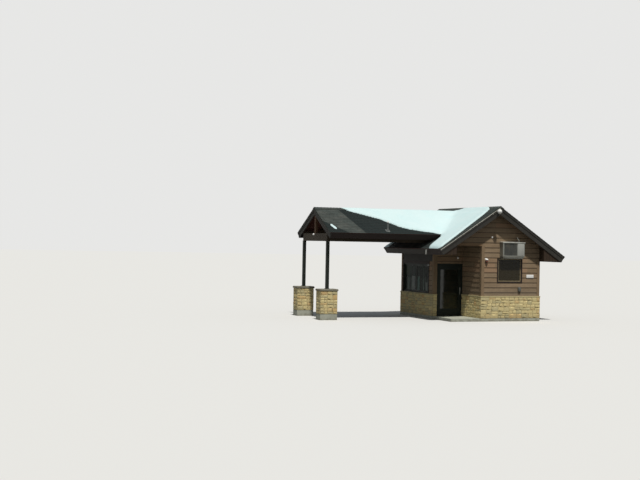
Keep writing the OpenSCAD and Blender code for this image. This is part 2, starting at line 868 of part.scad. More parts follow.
// The cabinet's form from the front, with a tray that narrows to its bottom
module cooler_front(half, top) {
    polygon([[-half + cooler_taper, 0], [half - cooler_taper, 0], [half, cooler_tray_h], [half, top],
             [-half, top], [-half, cooler_tray_h]]);
}

// Louvre blades that lean outwards over each other, drawn along X across one opening
module louvres(x0, x1, z0, z1, y, count) {
    step = (z1 - z0) / count;
    for (i = [0 : count - 1])
        along_x(x0, x1)
            translate([y, z0 + i * step])
                polygon([[2, 3], [2, 7], [22, step - 2], [22, step - 7]]);
}

// An upright pipe of height h, an elbow that turns it towards -X, and a straight end
module bent_pipe(h, d, bend_r, angle, end_h) {
    cylinder(d = d, h = h);
    translate([-bend_r, 0, h]) {
        rotate([90, 0, 0]) rotate_extrude(angle = angle) translate([bend_r, 0]) circle(d = d);
        rotate([0, -angle, 0]) translate([bend_r, 0, 0]) cylinder(d = d, h = end_h);
    }
}

module cooler() {
    half = cooler_w / 2 - cooler_lip;
    deep = cooler_out - cooler_lip;
    top = cooler_h - cooler_lid_h;
    panel_x0 = cooler_x - half + 35;
    panel_x1 = cooler_x + half * 0.3;
    panel_z0 = cooler_z + cooler_tray_h + 30;
    panel_z1 = cooler_z + top - 35;
    pipe_x = cooler_x + cooler_w * 0.3;
    color(metal_grey) {
        difference() {
            intersection() {
                along_y(-deep, 0) translate([cooler_x, cooler_z]) cooler_front(half, top);
                along_x(cooler_x - half, cooler_x + half) translate([0, cooler_z])
                    polygon([[0, 0], [-deep + cooler_taper, 0], [-deep, cooler_tray_h],
                             [-deep, top], [0, top]]);
            }
            block([panel_x0, -deep - eps, panel_z0], [panel_x1, -deep + 24, panel_z1]);
        }
        louvres(panel_x0, panel_x1, panel_z0, panel_z1, -deep, cooler_blades);
        along_x(cooler_x - cooler_w / 2, cooler_x + cooler_w / 2) translate([0, cooler_z])
            polygon([[0, top], [-deep, top], [-deep, top - 15], [-cooler_out, top - 15],
                     [-cooler_out, cooler_h - 25], [0, cooler_h]]);
        translate([pipe_x, -deep / 2, cooler_z + top]) bent_pipe(cooler_lid_h + 30, 34, 40, 38, 150);
    }
}

// A small dome lamp that hangs its round side away from what carries it
module dome(d, h) {
    rotate_extrude() intersection() {
        scale([1, 2 * h / d]) circle(d = d);
        square([d, h]);
    }
}

// The hood and lens of the lamp on the front wall, with the arm that holds them
module wall_lamp() {
    translate([0, -75, 70]) dome(130, 60);
    translate([0, -75, 0]) cylinder(d = 84, h = 75);
    block([-25, -60, 30], [25, 0, 90]);
    block([-50, -10, 0], [50, 0, 150]);
}

module lamps() {
    $fn = 36;
    globe_x = -globe_d * 0.68;
    globe_y = roof_y0 - barge_trim_t;
    globe_z = ridge_z - 200;
    neck = 60;
    color(lamp_white) {
        translate([globe_x, globe_y - neck - globe_d / 2 + 20, globe_z]) sphere(d = globe_d);
        translate([globe_x, globe_y, globe_z]) rotate([90, 0, 0]) cylinder(d = 90, h = neck + 5);
        translate([return_x + 185, 0, header_z - 655]) wall_lamp();
        translate([return_x + 450, 0, header_z + 350]) rotate([90, 0, 0]) dome(80, 55);
        translate([return_x - 250, porch_d, door_head + 250]) rotate([90, 0, 0]) dome(100, 60);
        translate([-wall_left - trim_t, window_y0 - 30, window_head - 20]) rotate([0, -90, 0]) dome(80, 50);
        translate([post_x - beam_w / 2, canopy_y + king_w / 2 + 50, tie_top - 48]) rotate([0, -90, 0])
            dome(90, 60);
    }
}

// A plumbing vent with a flashing plate and boot on the shingles and a rain cap
module vent_pipe() {
    y = eave_y + 220;
    z = canopy_top(y);
    pipe_d = 60;
    plate = 85;
    color(metal_grey) difference() {
        union() {
            translate([-vent_reach, y, z - 100]) cylinder(d = pipe_d, h = vent_h + 100);
            translate([-vent_reach, y, z - 100]) cylinder(d1 = 2.2 * pipe_d, d2 = pipe_d + 10, h = 210);
            translate([-vent_reach, y, z + vent_h - 20]) cylinder(d = 1.6 * pipe_d, h = 30);
            translate([-vent_reach, y, z + vent_h + 10]) cylinder(d1 = 1.6 * pipe_d, d2 = 30, h = 35);
            along_x(-vent_reach - plate, -vent_reach + plate)
                polygon([for (c = [[-plate, 0], [plate, 0], [plate, 8], [-plate, 8]])
                    [y + c[0], canopy_top(y + c[0]) + c[1]]]);
        }
        along_x(-vent_reach - big / 4, -vent_reach + big / 4)
            polygon([for (c = [[0, 0], [canopy_half, 0], [canopy_half, -big / 4], [0, -big / 4]])
                [eave_y + c[0], canopy_top(eave_y + c[0]) + seat + c[1]]]);
    }
}

floor_slab();
left_wall();
back_wall();
right_wall();
front_wall();
front_gable();
return_wall();
door_wall();
porch_side_beam();
ceiling();
stone_wainscot();
wainscot_cap();
corner_boards();
frieze_boards();
window_casings();
roof_left();
roof_right();
barge_boards();
eave_fascias();
eave_soffits();
ridge_caps();
canopy_roof_front();
canopy_roof_back();
canopy_barge_boards();
canopy_fascias();
canopy_rafters();
canopy_beams();
tie_beam();
king_post();
canopy_posts();
stone_piers();
pier_caps();
lane_window_frame();
lane_window_sashes();
window_glass();
front_window_frame();
front_window_blind();
door_frame();
door_hinges();
door_leaf();
door_glass();
door_pull();
cooler();
lamps();
vent_pipe();
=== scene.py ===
"""Looks of a security guard booth with a drive-through canopy.

The file is laid out as a Blender add-on and run as a script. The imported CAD
model is loaded as the fixed frame, and each operator adds one group of pieces
or finishes to it. Every length is in metres.
"""

import math
import random

import bpy
from mathutils import Matrix, Vector, noise


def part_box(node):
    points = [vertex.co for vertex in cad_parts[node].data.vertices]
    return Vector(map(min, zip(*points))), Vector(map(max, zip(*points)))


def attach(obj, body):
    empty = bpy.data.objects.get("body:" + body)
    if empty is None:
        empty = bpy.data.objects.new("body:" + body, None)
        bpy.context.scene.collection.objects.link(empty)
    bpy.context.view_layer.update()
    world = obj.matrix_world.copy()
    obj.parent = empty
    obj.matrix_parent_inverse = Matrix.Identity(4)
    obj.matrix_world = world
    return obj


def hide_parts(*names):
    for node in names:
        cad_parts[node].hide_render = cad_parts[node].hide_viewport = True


bl_info = {
    "name": "Security Guard Booth",
    "version": (1, 0, 0),
    "blender": (4, 5, 0),
    "location": "View3D > Sidebar > Booth",
    "description": "Siding, stone, shingles, snow, fittings and finishes for a guard booth",
    "category": "Object",
}

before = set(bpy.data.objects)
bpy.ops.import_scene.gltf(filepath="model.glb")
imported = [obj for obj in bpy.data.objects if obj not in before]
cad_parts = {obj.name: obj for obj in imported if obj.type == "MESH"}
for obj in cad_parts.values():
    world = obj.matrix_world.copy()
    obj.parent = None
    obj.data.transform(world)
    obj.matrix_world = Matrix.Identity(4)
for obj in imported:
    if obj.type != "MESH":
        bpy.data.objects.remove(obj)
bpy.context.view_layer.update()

# Levels and planes of the CAD model that the added pieces sit on
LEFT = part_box("left_wall")[0].x
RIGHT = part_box("right_wall")[1].x
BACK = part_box("back_wall")[1].y
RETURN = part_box("front_wall")[0].x
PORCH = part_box("door_wall")[0].y
DOOR_WALL_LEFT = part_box("door_wall")[0].x
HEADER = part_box("front_wall")[1].z
CAP_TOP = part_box("wainscot_cap")[1].z
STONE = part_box("stone_wainscot")
SOFFIT_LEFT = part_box("porch_side_beam")[0].z
SOFFIT_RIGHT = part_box("eave_soffits")[0].z
ROOF_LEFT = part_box("roof_left")
ROOF_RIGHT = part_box("roof_right")
RIDGE = ROOF_LEFT[1].z
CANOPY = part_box("canopy_roof_front")
CANOPY_RIDGE = CANOPY[1].z
CANOPY_Y = CANOPY[1].y
CANOPY_HALF = CANOPY_Y - CANOPY[0].y
CANOPY_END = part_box("canopy_barge_boards")[0].x
FRONT_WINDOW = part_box("front_window_frame")
LANE_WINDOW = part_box("lane_window_frame")
DOOR_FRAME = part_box("door_frame")
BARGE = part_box("barge_boards")
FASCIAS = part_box("eave_fascias")
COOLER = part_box("cooler")
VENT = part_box("vent_pipe")
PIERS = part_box("stone_piers")
TIE_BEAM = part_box("tie_beam")
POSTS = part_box("canopy_posts")

# Sizes of the CAD model that its boxes don't tell: a pier's side, a post's axis from its plate's edge,
# the joint in the lane fascia and the height of the vent's rain cap
PIER_SIDE = 0.48
POST_IN = 0.09
FASCIA_JOINT = 0.90
VENT_CAP = 0.07

# The louvred stretch gets painted shade, and the sheet above the lid's level gets a painted highlight
# Parts of the cooler, from its low corner: the louvred stretch in X and Z, and the level of its lid
LOUVRES_X = (0.09, 0.68)
LOUVRES_Z = (0.12, 0.63)
COOLER_LID = 0.65

# Pieces on the front wall, each from its low to its high corner
PLATE = ((1.50, -0.036, 1.80), (1.84, -0.030, 1.935))
PLATE_BACK = ((1.53, -0.030, 1.83), (1.81, -0.004, 1.905))
SOCKET_BOX = ((1.10, -0.075, 1.235), (1.225, -0.006, 1.42))
SOCKET_LID = ((1.108, -0.086, 1.245), (1.217, -0.074, 1.41))
LAMP_LENS = (RETURN + 0.185, -0.075, HEADER - 0.655)

# The roof's cover: where the tabs stop under the ridge caps, the caps' half width, thickness and lift,
# the gap between tabs, how far the second and third rows are set back in tab widths, and the drip
# edges' thickness and how far they start below the roof's top
UNDER_CAPS = 0.13
CAP_HALF = 0.15
CAP_T = 0.007
CAP_LIFT = 0.0145
TAB_GAP = 0.008
TAB_LAG = (0.42, 0.77)
DRIP_T = 0.003
DRIP_DROP = 0.016

# Bolts: their places from the middle of a post's plate and of the tie beam and up from the king
# post's foot, the sizes of their heads, and the thickness of the plate
PLATE_BOLTS = (-0.075, 0.075)
BEAM_BOLTS = (-0.07, 0.07)
KING_BOLTS = (0.06, 0.13)
PLATE_HEAD, BEAM_HEAD, KING_HEAD = 0.011, 0.016, 0.014
PLATE_T = 0.012

# Light and camera
SUN_ENERGY = 2.95
SUN_DIRECTION = Vector((0.087, 0.458, -0.885))
SOFT_LIGHT = 0.205
CAMERA_PLACE = (-23.91, -41.819, 3.093)
CAMERA_TURN, CAMERA_TILT, CAMERA_ROLL = 21.16, 0.15, 1.07
CAMERA_LENS = 65.10

# Outlines of the snow in plan: the large cover from the canopy's ridge round the lane-side slope
# and back, the patch near the end of the canopy, and the strip along the far rake
SNOW_COVER = [
    (-5.72, 3.00), (-5.34, 2.76), (-4.80, 2.48), (-4.22, 2.18), (-3.84, 1.83), (-3.58, 1.61),
    (-3.28, 1.47), (-2.78, 1.33), (-2.23, 1.22), (-1.91, 1.11), (-1.97, 1.02), (-2.30, 0.92),
    (-2.62, 0.80), (-2.71, 0.62), (-2.71, -0.16), (-2.60, -0.28), (-1.60, -0.11), (-0.49, 0.09),
    (-0.12, 0.24), (0.00, 0.50), (0.08, 0.90), (0.08, 2.55), (-0.10, 2.95), (-0.22, 3.14),
    (-0.23, 3.56), (-0.25, 3.80), (-0.26, 4.05), (-0.26, 4.80), (-0.36, 4.93), (-0.75, 4.93),
    (-1.60, 4.92), (-1.91, 4.89), (-2.23, 4.78), (-2.78, 4.67), (-3.28, 4.53),
    (-3.58, 4.39), (-3.84, 4.17), (-4.22, 3.82), (-4.80, 3.52), (-5.34, 3.24),
]
SNOW_PATCH = [
    (-6.66, 1.62), (-6.62, 1.72), (-6.55, 1.71), (-6.51, 1.60), (-6.46, 1.50), (-6.45, 1.38),
    (-6.52, 1.32), (-6.58, 1.38), (-6.61, 1.50),
]
SNOW_RAKE = [(-2.70, 4.66), (-2.70, 5.07), (-1.98, 5.07), (-2.03, 4.72)]

# Pale and dark marks laid over boxes of the lane window's glass: from and to in Y, foot, top and colour
PANE_MARKS = (
    (3.52, 3.86, 1.12, 1.74, (0.40, 0.43, 0.40, 1)),
    (3.03, 3.22, 1.12, 1.74, (0.20, 0.33, 0.29, 1)),
    (2.28, 2.46, 1.12, 1.50, (0.33, 0.36, 0.33, 1)),
    (4.06, 4.46, 1.80, 2.25, (0.09, 0.12, 0.08, 1)),
    (3.50, 3.76, 1.74, 2.25, (0.08, 0.11, 0.10, 1)),
)

# Finish of every CAD node
CAD_FINISHES = {
    "cast_concrete": "floor_slab",
    "inner_sheathing": "left_wall back_wall right_wall front_wall front_gable return_wall door_wall",
    "trim_paint": "porch_side_beam barge_boards canopy_barge_boards",
    "soffit_stain": "ceiling eave_soffits",
    "mortar": "stone_wainscot stone_piers",
    "cap_stone": "wainscot_cap",
    "corner_board_stain": "corner_boards",
    "frieze_paint": "frieze_boards",
    "casing_paint": "window_casings",
    "main_shingles": "roof_left",
    "far_shingles": "roof_right",
    "cap_shingles": "ridge_caps",
    "canopy_shingles": "canopy_roof_front canopy_roof_back",
    "fascia_paint": "eave_fascias",
    "canopy_fascia_paint": "canopy_fascias",
    "tie_beam_stain": "canopy_rafters tie_beam",
    "beam_stain": "canopy_beams",
    "king_post_stain": "king_post",
    "pier_concrete": "pier_caps",
    "black_steel": "canopy_posts lane_window_frame lane_window_sashes door_frame door_hinges door_leaf",
    "lane_glazing": "window_glass",
    "door_glazing": "door_glass",
    "beige_frame": "front_window_frame",
    "blind_slats": "front_window_blind",
    "bright_metal": "door_pull",
    "cooler_sheet": "cooler",
    "opal_white": "lamps",
    "pipe_metal": "vent_pipe",
}


def srgb(red, green, blue):
    """A colour as a screen shows it, 0 to 255, as the linear values that Blender mixes."""
    values = []
    for part in (red, green, blue):
        part = part / 255
        values.append(part / 12.92 if part <= 0.04045 else ((part + 0.055) / 1.055) ** 2.4)
    return (*values, 1.0)


def tinted(base, red, green=None, blue=None):
    """A colour with its parts multiplied, all by the first factor where only that one is given."""
    factors = (red, red if green is None else green, red if blue is None else blue)
    return (*(min(1, part * factor) for part, factor in zip(base, factors)), 1.0)


def colour(name, description, red, green, blue):
    """A colour property with its default as a screen shows it."""
    return bpy.props.FloatVectorProperty(
        name=name, description=description, subtype="COLOR", size=4, min=0, max=1,
        default=srgb(red, green, blue))


def number(name, description, default, low, high, **settings):
    """A number property between two limits."""
    return bpy.props.FloatProperty(
        name=name, description=description, default=default, min=low, max=high, **settings)


def length(*facts):
    """A length property in metres."""
    return number(*facts, subtype="DISTANCE", unit="LENGTH", precision=4)


class BoothSizes(bpy.types.PropertyGroup):
    """Sizes of the pieces that are laid over the CAD model."""

    lap: length("Lap", "Height of each lapped board that shows", 0.2045, 0.1, 0.3)
    lap_line: length("Lap line", "Height of one lower board edge, which the others count from", 1.18, 0, 3)
    board_t: length("Board thickness", "Thickness of a lapped board at its lower edge", 0.018, 0.008, 0.027)
    stone_w: length("Stone width", "Greatest width of a laid stone", 0.40, 0.15, 0.8)
    stone_h: length("Stone height", "Greatest height of a laid stone", 0.20, 0.08, 0.4)
    joint: length("Mortar joint", "Width of the joints between stones", 0.014, 0.004, 0.03)
    relief: length("Stone relief", "How far the stones stand out of their mortar", 0.012, 0.004, 0.03)
    tab_w: length("Shingle width", "Width of one shingle tab", 0.305, 0.15, 0.5)
    exposure: length("Shingle exposure", "Length of a shingle tab that shows", 0.143, 0.1, 0.3)
    butt: length("Shingle butt", "Thickness of a shingle tab at its lower edge", 0.007, 0.003, 0.015)
    snow_t: length("Snow depth", "Depth of the settled snow", 0.075, 0.02, 0.12)
    snow_edge: length("Snow edge", "Width over which the snow's edge rounds off", 0.13, 0.03, 0.4)
    pitch: number("Main pitch", "Rise of the main roof for each unit of run", 0.65, 0.2, 1.2)
    canopy_pitch: number("Canopy pitch", "Rise of the canopy for each unit of run", 0.54, 0.2, 1.2)


class BoothColours(bpy.types.PropertyGroup):
    """Colours of the finishes, each the lighter one that its pattern darkens."""

    siding: colour("Siding", "Stain of the lapped boards", 160, 138, 112)
    corner: colour("Corner boards", "Stain of the corner boards", 146, 124, 98)
    trim: colour("Trim", "Weathered paint of barge boards, friezes and casings", 62, 60, 56)
    brown: colour("Brown trim", "Fresher brown paint of the fascias", 46, 38, 35)
    soffit: colour("Soffits", "Stain of the soffit boards", 62, 49, 38)
    timber: colour("Timber", "Stain of the canopy's timbers", 58, 50, 38)
    king: colour("King post", "Stain of the king post", 108, 82, 62)
    stone: colour("Stone", "Warm tan of the laid stone", 240, 220, 160)
    mortar: colour("Mortar", "Joints between the stones", 158, 144, 108)
    concrete: colour("Concrete", "Slab, caps and bases", 188, 190, 174)
    shingle: colour("Shingles", "Dry shingle granules", 78, 85, 82)
    snow: colour("Snow", "Settled snow", 216, 238, 239)
    steel: colour("Black steel", "Paint of posts, door and window frames", 30, 37, 32)
    glass: colour("Dark glass", "Tint of the lane window and of the door's pane", 26, 40, 33)
    clear: colour("Clear glass", "Tint of the front window's pane", 56, 50, 34)
    beige: colour("Window frame", "Frame of the front window", 140, 127, 100)
    blind: colour("Blind", "Slats behind the front window", 64, 57, 38)
    metal: colour("Cooler metal", "Coated sheet of the cooler", 138, 140, 132)
    lens: colour("Lamp lens", "Lower body of the lamp by the porch", 126, 60, 46)
    white: colour("Lamp white", "Opal glass and white enamel", 252, 252, 248)
    header: colour("Header strip", "Board along the porch header", 150, 122, 92)
    pier_cap: colour("Pier caps", "Weathered cap stones", 110, 104, 88)
    # Painted shade: the louvres' colour stands in for the shade in their recess
    louvre: colour("Cooler louvres", "Shaded sheet of the cooler's louvres", 26, 28, 26)
    floor: colour("Floor", "Floor as it is seen", 232, 232, 230)
    ground: colour("Floor bounce", "Floor as it lights the booth", 112, 112, 110)


def sizes():
    return bpy.context.scene.booth_sizes


def colours():
    return bpy.context.scene.booth_colours


# Every finish that is mixed here, by its name
FINISHES = {}


# Working with objects

def deselect():
    bpy.ops.object.select_all(action="DESELECT")


def take(obj):
    """Makes obj the only selected and the active object."""
    deselect()
    obj.select_set(True)
    bpy.context.view_layer.objects.active = obj


def settle(obj):
    """Moves an object's place into its mesh."""
    take(obj)
    bpy.ops.object.transform_apply(location=True, rotation=True, scale=True)
    return obj


def block(name, low, high):
    """A box between two corners, to be shaped further."""
    low, high = Vector(low), Vector(high)
    deselect()
    bpy.ops.mesh.primitive_cube_add(size=1, location=(low + high) / 2)
    obj = bpy.context.object
    obj.name = name
    obj.scale = high - low
    return settle(obj)


def rod(name, start, end, radius, sides=24):
    """A round bar between two points, to be shaped further."""
    start, end = Vector(start), Vector(end)
    deselect()
    bpy.ops.mesh.primitive_cylinder_add(
        vertices=sides, radius=radius, depth=(end - start).length, location=(start + end) / 2)
    obj = bpy.context.object
    obj.name = name
    obj.rotation_mode = "QUATERNION"
    obj.rotation_quaternion = (end - start).to_track_quat("Z", "Y")
    return settle(obj)


def pick(obj, kind="VERT", test=lambda part: True):
    """Opens obj for editing with only those vertices or faces selected that pass the test."""
    take(obj)
    bpy.ops.object.mode_set(mode="EDIT")
    bpy.ops.mesh.select_mode(type=kind)
    bpy.ops.mesh.select_all(action="DESELECT")
    close_edit()
    for part in {"VERT": obj.data.vertices, "FACE": obj.data.polygons}[kind]:
        part.select = test(part)
    bpy.ops.object.mode_set(mode="EDIT")


def close_edit():
    bpy.ops.object.mode_set(mode="OBJECT")


def shift(obj, test, move):
    """Moves the vertices that pass the test."""
    pick(obj, "VERT", lambda v: test(v.co))
    bpy.ops.transform.translate(value=move)
    close_edit()


def cut(obj, point, normal):
    """Cuts obj at a plane, drops the side that the normal points to and closes the cut."""
    pick(obj)
    bpy.ops.mesh.bisect(plane_co=point, plane_no=normal, clear_outer=True, use_fill=True)
    close_edit()
    return obj


def modify(obj, kind, **settings):
    """Adds a modifier with its settings and applies it."""
    take(obj)
    modifier = obj.modifiers.new(kind.title(), kind)
    for name, value in settings.items():
        setattr(modifier, name, value)
    bpy.ops.object.modifier_apply(modifier=modifier.name)


def repeat(obj, count, step):
    """Copies obj in a row, each copy one step on."""
    modify(obj, "ARRAY", count=max(1, count), use_relative_offset=False, use_constant_offset=True,
           constant_offset_displace=step)


def smooth(obj, degrees):
    """Shades obj smooth, apart from edges that are sharper than an angle."""
    take(obj)
    bpy.ops.object.shade_smooth_by_angle(angle=math.radians(degrees))


def ease(obj, width, segments=2):
    """Rounds the sharp edges."""
    modify(obj, "BEVEL", width=width, segments=segments, limit_method="ANGLE", angle_limit=math.radians(40))
    smooth(obj, 35)
    return obj


def copied(obj, matrix=None):
    """A copy of obj with a mesh of its own, placed by a matrix."""
    new = obj.copy()
    new.data = obj.data.copy()
    bpy.context.scene.collection.objects.link(new)
    if matrix is not None:
        new.data.transform(matrix)
    return new


def joined(name, objects):
    """Joins several objects into one piece."""
    deselect()
    for obj in objects:
        obj.select_set(True)
    bpy.context.view_layer.objects.active = objects[0]
    if len(objects) > 1:
        bpy.ops.object.join()
    piece = bpy.context.view_layer.objects.active
    piece.name = name
    piece.data.name = name
    return piece


def dress(piece, finish):
    """Gives a piece one finish by its name."""
    piece.data.materials.clear()
    piece.data.materials.append(FINISHES[finish])


def hand_over(piece, finish, body="booth"):
    """Gives a finished piece its finish and the body it rides on."""
    dress(piece, finish)
    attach(piece, body)
    return piece


def framed(across, out, up, origin):
    """A matrix that turns X, Y and Z into three directions and moves the origin."""
    matrix = Matrix((across, out, up)).transposed().to_4x4()
    matrix.translation = Vector(origin)
    return matrix


TURNS = {"front": 0, "right": 90, "back": 180, "left": -90}


def stand(obj, facing, plane):
    """Turns a piece made to face -Y towards its wall and moves it out to the wall's plane."""
    obj.rotation_euler = (0, 0, math.radians(TURNS[facing]))
    obj.location = (0, plane, 0) if facing in ("front", "back") else (plane, 0, 0)
    return settle(obj)


def span(facing, start, end):
    """A stretch of a wall in world X or Y as the piece's own X before it is stood up."""
    return (start, end) if facing in ("front", "right") else (-end, -start)


# Shader nodes

class Nodes:
    """A shader node tree that fills up from left to right."""

    def __init__(self, tree):
        self.tree = tree
        self.column = 0

    def feed(self, socket, value):
        """Links an input to another node's output, or gives it a constant."""
        if isinstance(value, bpy.types.NodeSocket):
            self.tree.links.new(value, socket)
        else:
            socket.default_value = value

    def node(self, kind, values=None, **settings):
        """A node with its settings, and with its inputs fed by name or number."""
        node = self.tree.nodes.new("ShaderNode" + kind)
        self.column += 180
        node.location = (self.column, 0)
        for name, value in settings.items():
            setattr(node, name, value)
        for name, value in (values or {}).items():
            self.feed(node.inputs[name], value)
        return node

    def math(self, operation, *values):
        return self.node("Math", dict(enumerate(values)), operation=operation).outputs[0]

    def vectors(self, operation, *values):
        return self.node("VectorMath", dict(enumerate(values)), operation=operation).outputs[0]

    def split(self, vector):
        """The three parts of a vector."""
        return self.node("SeparateXYZ", {"Vector": vector}).outputs

    def ramp(self, value, low, high):
        """A value stretched so that low becomes 0 and high becomes 1."""
        return self.node("MapRange", {"Value": value, "From Min": low, "From Max": high},
                         interpolation_type="SMOOTHSTEP").outputs["Result"]

    def as_seen(self):
        """1 for rays from the camera, off glossy surfaces and through glass, and 0 for soft light."""
        rays = self.node("LightPath").outputs
        seen = self.math("MAXIMUM", rays["Is Camera Ray"], rays["Is Glossy Ray"])
        return self.math("MAXIMUM", seen, rays["Is Transmission Ray"])


class Group(Nodes):
    """A node group that several finishes share. It takes a Vector and the named inputs."""

    def __init__(self, name, outputs=("Mask",), **inputs):
        super().__init__(bpy.data.node_groups.new(name, "ShaderNodeTree"))
        sockets = self.tree.interface
        sockets.new_socket("Vector", in_out="INPUT", socket_type="NodeSocketVector")
        for label, value in inputs.items():
            kind = "NodeSocketVector" if isinstance(value, tuple) else "NodeSocketFloat"
            socket = sockets.new_socket(label.replace("_", " "), in_out="INPUT", socket_type=kind)
            socket.default_value = value
        for label in outputs:
            sockets.new_socket(label, in_out="OUTPUT", socket_type="NodeSocketFloat")
        self.given = self.tree.nodes.new("NodeGroupInput").outputs

    def give(self, *values):
        """Feeds the group's outputs, in their order."""
        end = self.tree.nodes.new("NodeGroupOutput")
        end.location = (self.column + 180, 0)
        for socket, value in zip(end.inputs, values):
            self.feed(socket, value)


def build_groups():
    """Builds the shared node groups: grain, blotches, splash, courses, box and granules."""
    group = Group("Wood grain", Stretch=(1, 14, 14), Scale=3.0)
    pulled = group.vectors("MULTIPLY", group.given["Vector"], group.given["Stretch"])
    fibre = group.node("TexNoise", {"Vector": pulled, "Scale": group.given["Scale"], "Detail": 7.0,
                                    "Roughness": 0.62, "Distortion": 0.4})
    group.give(group.ramp(fibre.outputs["Fac"], 0.32, 0.70))

    group = Group("Blotches", Scale=1.2, Low=0.42, High=0.68)
    cloud = group.node("TexNoise", {"Vector": group.given["Vector"], "Scale": group.given["Scale"],
                                    "Detail": 5.0, "Roughness": 0.6})
    group.give(group.ramp(cloud.outputs["Fac"], group.given["Low"], group.given["High"]))

    group = Group("Splash", Foot=0.0, Top=0.5)
    ragged = group.node("TexNoise", {"Vector": group.given["Vector"], "Scale": 7.0, "Detail": 4.0})
    wave = group.math("MULTIPLY_ADD", ragged.outputs["Fac"], 0.35, -0.17)
    level = group.math("ADD", group.split(group.given["Vector"])["Z"], wave)
    group.give(group.ramp(level, group.given["Top"], group.given["Foot"]))

    group = Group("Courses", ("Tone", "Joint"), Unit_width=3.6, Row_height=0.2045, Joint=0.003)
    rows = group.node("TexBrick", {
        "Vector": group.given["Vector"], "Color1": (0, 0, 0, 1), "Color2": (1, 1, 1, 1),
        "Mortar": (0.5, 0.5, 0.5, 1), "Scale": 1.0, "Mortar Size": group.given["Joint"],
        "Mortar Smooth": 0.2, "Bias": 0.0, "Brick Width": group.given["Unit width"],
        "Row Height": group.given["Row height"]}, offset=0.37, offset_frequency=2, squash=1.0)
    group.give(rows.outputs["Color"], rows.outputs["Fac"])

    group = Group("Inside box", Low=(0, 0, 0), High=(1, 1, 1))
    above = group.vectors("SUBTRACT", group.given["Vector"], group.given["Low"])
    below = group.vectors("SUBTRACT", group.given["High"], group.given["Vector"])
    least = group.split(group.vectors("MINIMUM", above, below))
    least = group.math("MINIMUM", group.math("MINIMUM", least["X"], least["Y"]), least["Z"])
    group.give(group.math("GREATER_THAN", least, 0.0))

    group = Group("Granules", Scale=220.0)
    cells = group.node("TexVoronoi", {"Vector": group.given["Vector"], "Scale": group.given["Scale"]},
                       feature="F1")
    shade = group.node("SeparateColor", {"Color": cells.outputs["Color"]})
    group.give(shade.outputs["Red"])


class Finish(Nodes):
    """A material that is built up in layers over its Principled BSDF."""

    def __init__(self, name, base, roughness=None, **constants):
        material = bpy.data.materials.new(name)
        material.use_nodes = True
        FINISHES[name] = material
        super().__init__(material.node_tree)
        self.shader = self.tree.nodes["Principled BSDF"]
        for label, value in constants.items():
            self.shader.inputs[label.replace("_", " ")].default_value = value
        if roughness is not None:
            self.shader.inputs["Roughness"].default_value = roughness
        self.place = self.node("TexCoord").outputs["Object"]
        self.shade = tuple(base)

    def group(self, name, **values):
        """The outputs of a shared group, laid over the object's own place unless told otherwise."""
        node = self.node("Group", node_tree=bpy.data.node_groups[name])
        for label, value in {"Vector": self.place, **values}.items():
            self.feed(node.inputs[label.replace("_", " ")], value)
        return node.outputs

    def mask(self, name, **values):
        return self.group(name, **values)["Mask"]

    def within(self, low, high):
        """A mask that is 1 inside a box."""
        return self.mask("Inside box", Low=low, High=high)

    def flat(self, across, up):
        """Two values as the place in a flat pattern."""
        return self.node("CombineXYZ", {"X": across, "Y": up}).outputs[0]

    def cover(self, colour_value, mask, amount=1.0):
        """Lays a second colour over what is there, where the mask is high."""
        layers = {0: self.math("MULTIPLY", mask, amount), 6: self.shade, 7: tuple(colour_value)}
        self.shade = self.node("Mix", layers, data_type="RGBA").outputs[2]

    def rough(self, mask, low, high):
        """Roughness that follows a mask."""
        node = self.node("MapRange", {"Value": mask, "To Min": low, "To Max": high})
        self.feed(self.shader.inputs["Roughness"], node.outputs["Result"])

    def bump(self, height, distance):
        """Relief that follows a mask, over the relief that is there."""
        values = {"Height": height, "Distance": distance, "Strength": 0.6}
        last = self.shader.inputs["Normal"].links
        if last:
            values["Normal"] = last[0].from_socket
        self.feed(self.shader.inputs["Normal"], self.node("Bump", values).outputs["Normal"])

    def done(self):
        """Joins the layers to the shader, which moves to the right end."""
        self.feed(self.shader.inputs["Base Color"], self.shade)
        self.shader.location = (self.column + 200, 0)
        self.tree.nodes["Material Output"].location = (self.column + 500, 0)


# Grain that is drawn out along Z, X or Y, and grain without a direction
GRAIN_UP, GRAIN_X, GRAIN_Y, GRAIN_EVEN = (12, 12, 0.9), (0.9, 12, 12), (12, 0.9, 12), (3, 3, 3)


def wood(name, base, stretch, dark=0.45, scale=3.0, wear=0.35):
    """Stained or painted boards with grain along one direction, blotchy wear and a matt skin."""
    finish = Finish(name, base, Specular_IOR_Level=0.2)
    grain = finish.mask("Wood grain", Stretch=stretch, Scale=scale)
    fine = finish.mask("Wood grain", Stretch=stretch, Scale=scale * 6)
    finish.cover(tinted(base, dark), grain, 0.55)
    finish.cover(tinted(base, dark * 0.8), fine, 0.25)
    finish.cover(tinted(base, 1.22, 1.25, 1.3), finish.mask("Blotches", Scale=1.7), wear)
    finish.rough(fine, 0.62, 0.84)
    finish.bump(fine, 0.0015)
    return finish


def painted_trim(name, base, stretch, *patches):
    """Painted trim whose patches, each a box and a colour, have a tone of their own."""
    finish = wood(name, base, stretch, dark=0.6, wear=0.25)
    for low, high, tone in patches:
        finish.cover(tone, finish.within(low, high), 0.85)
    finish.done()


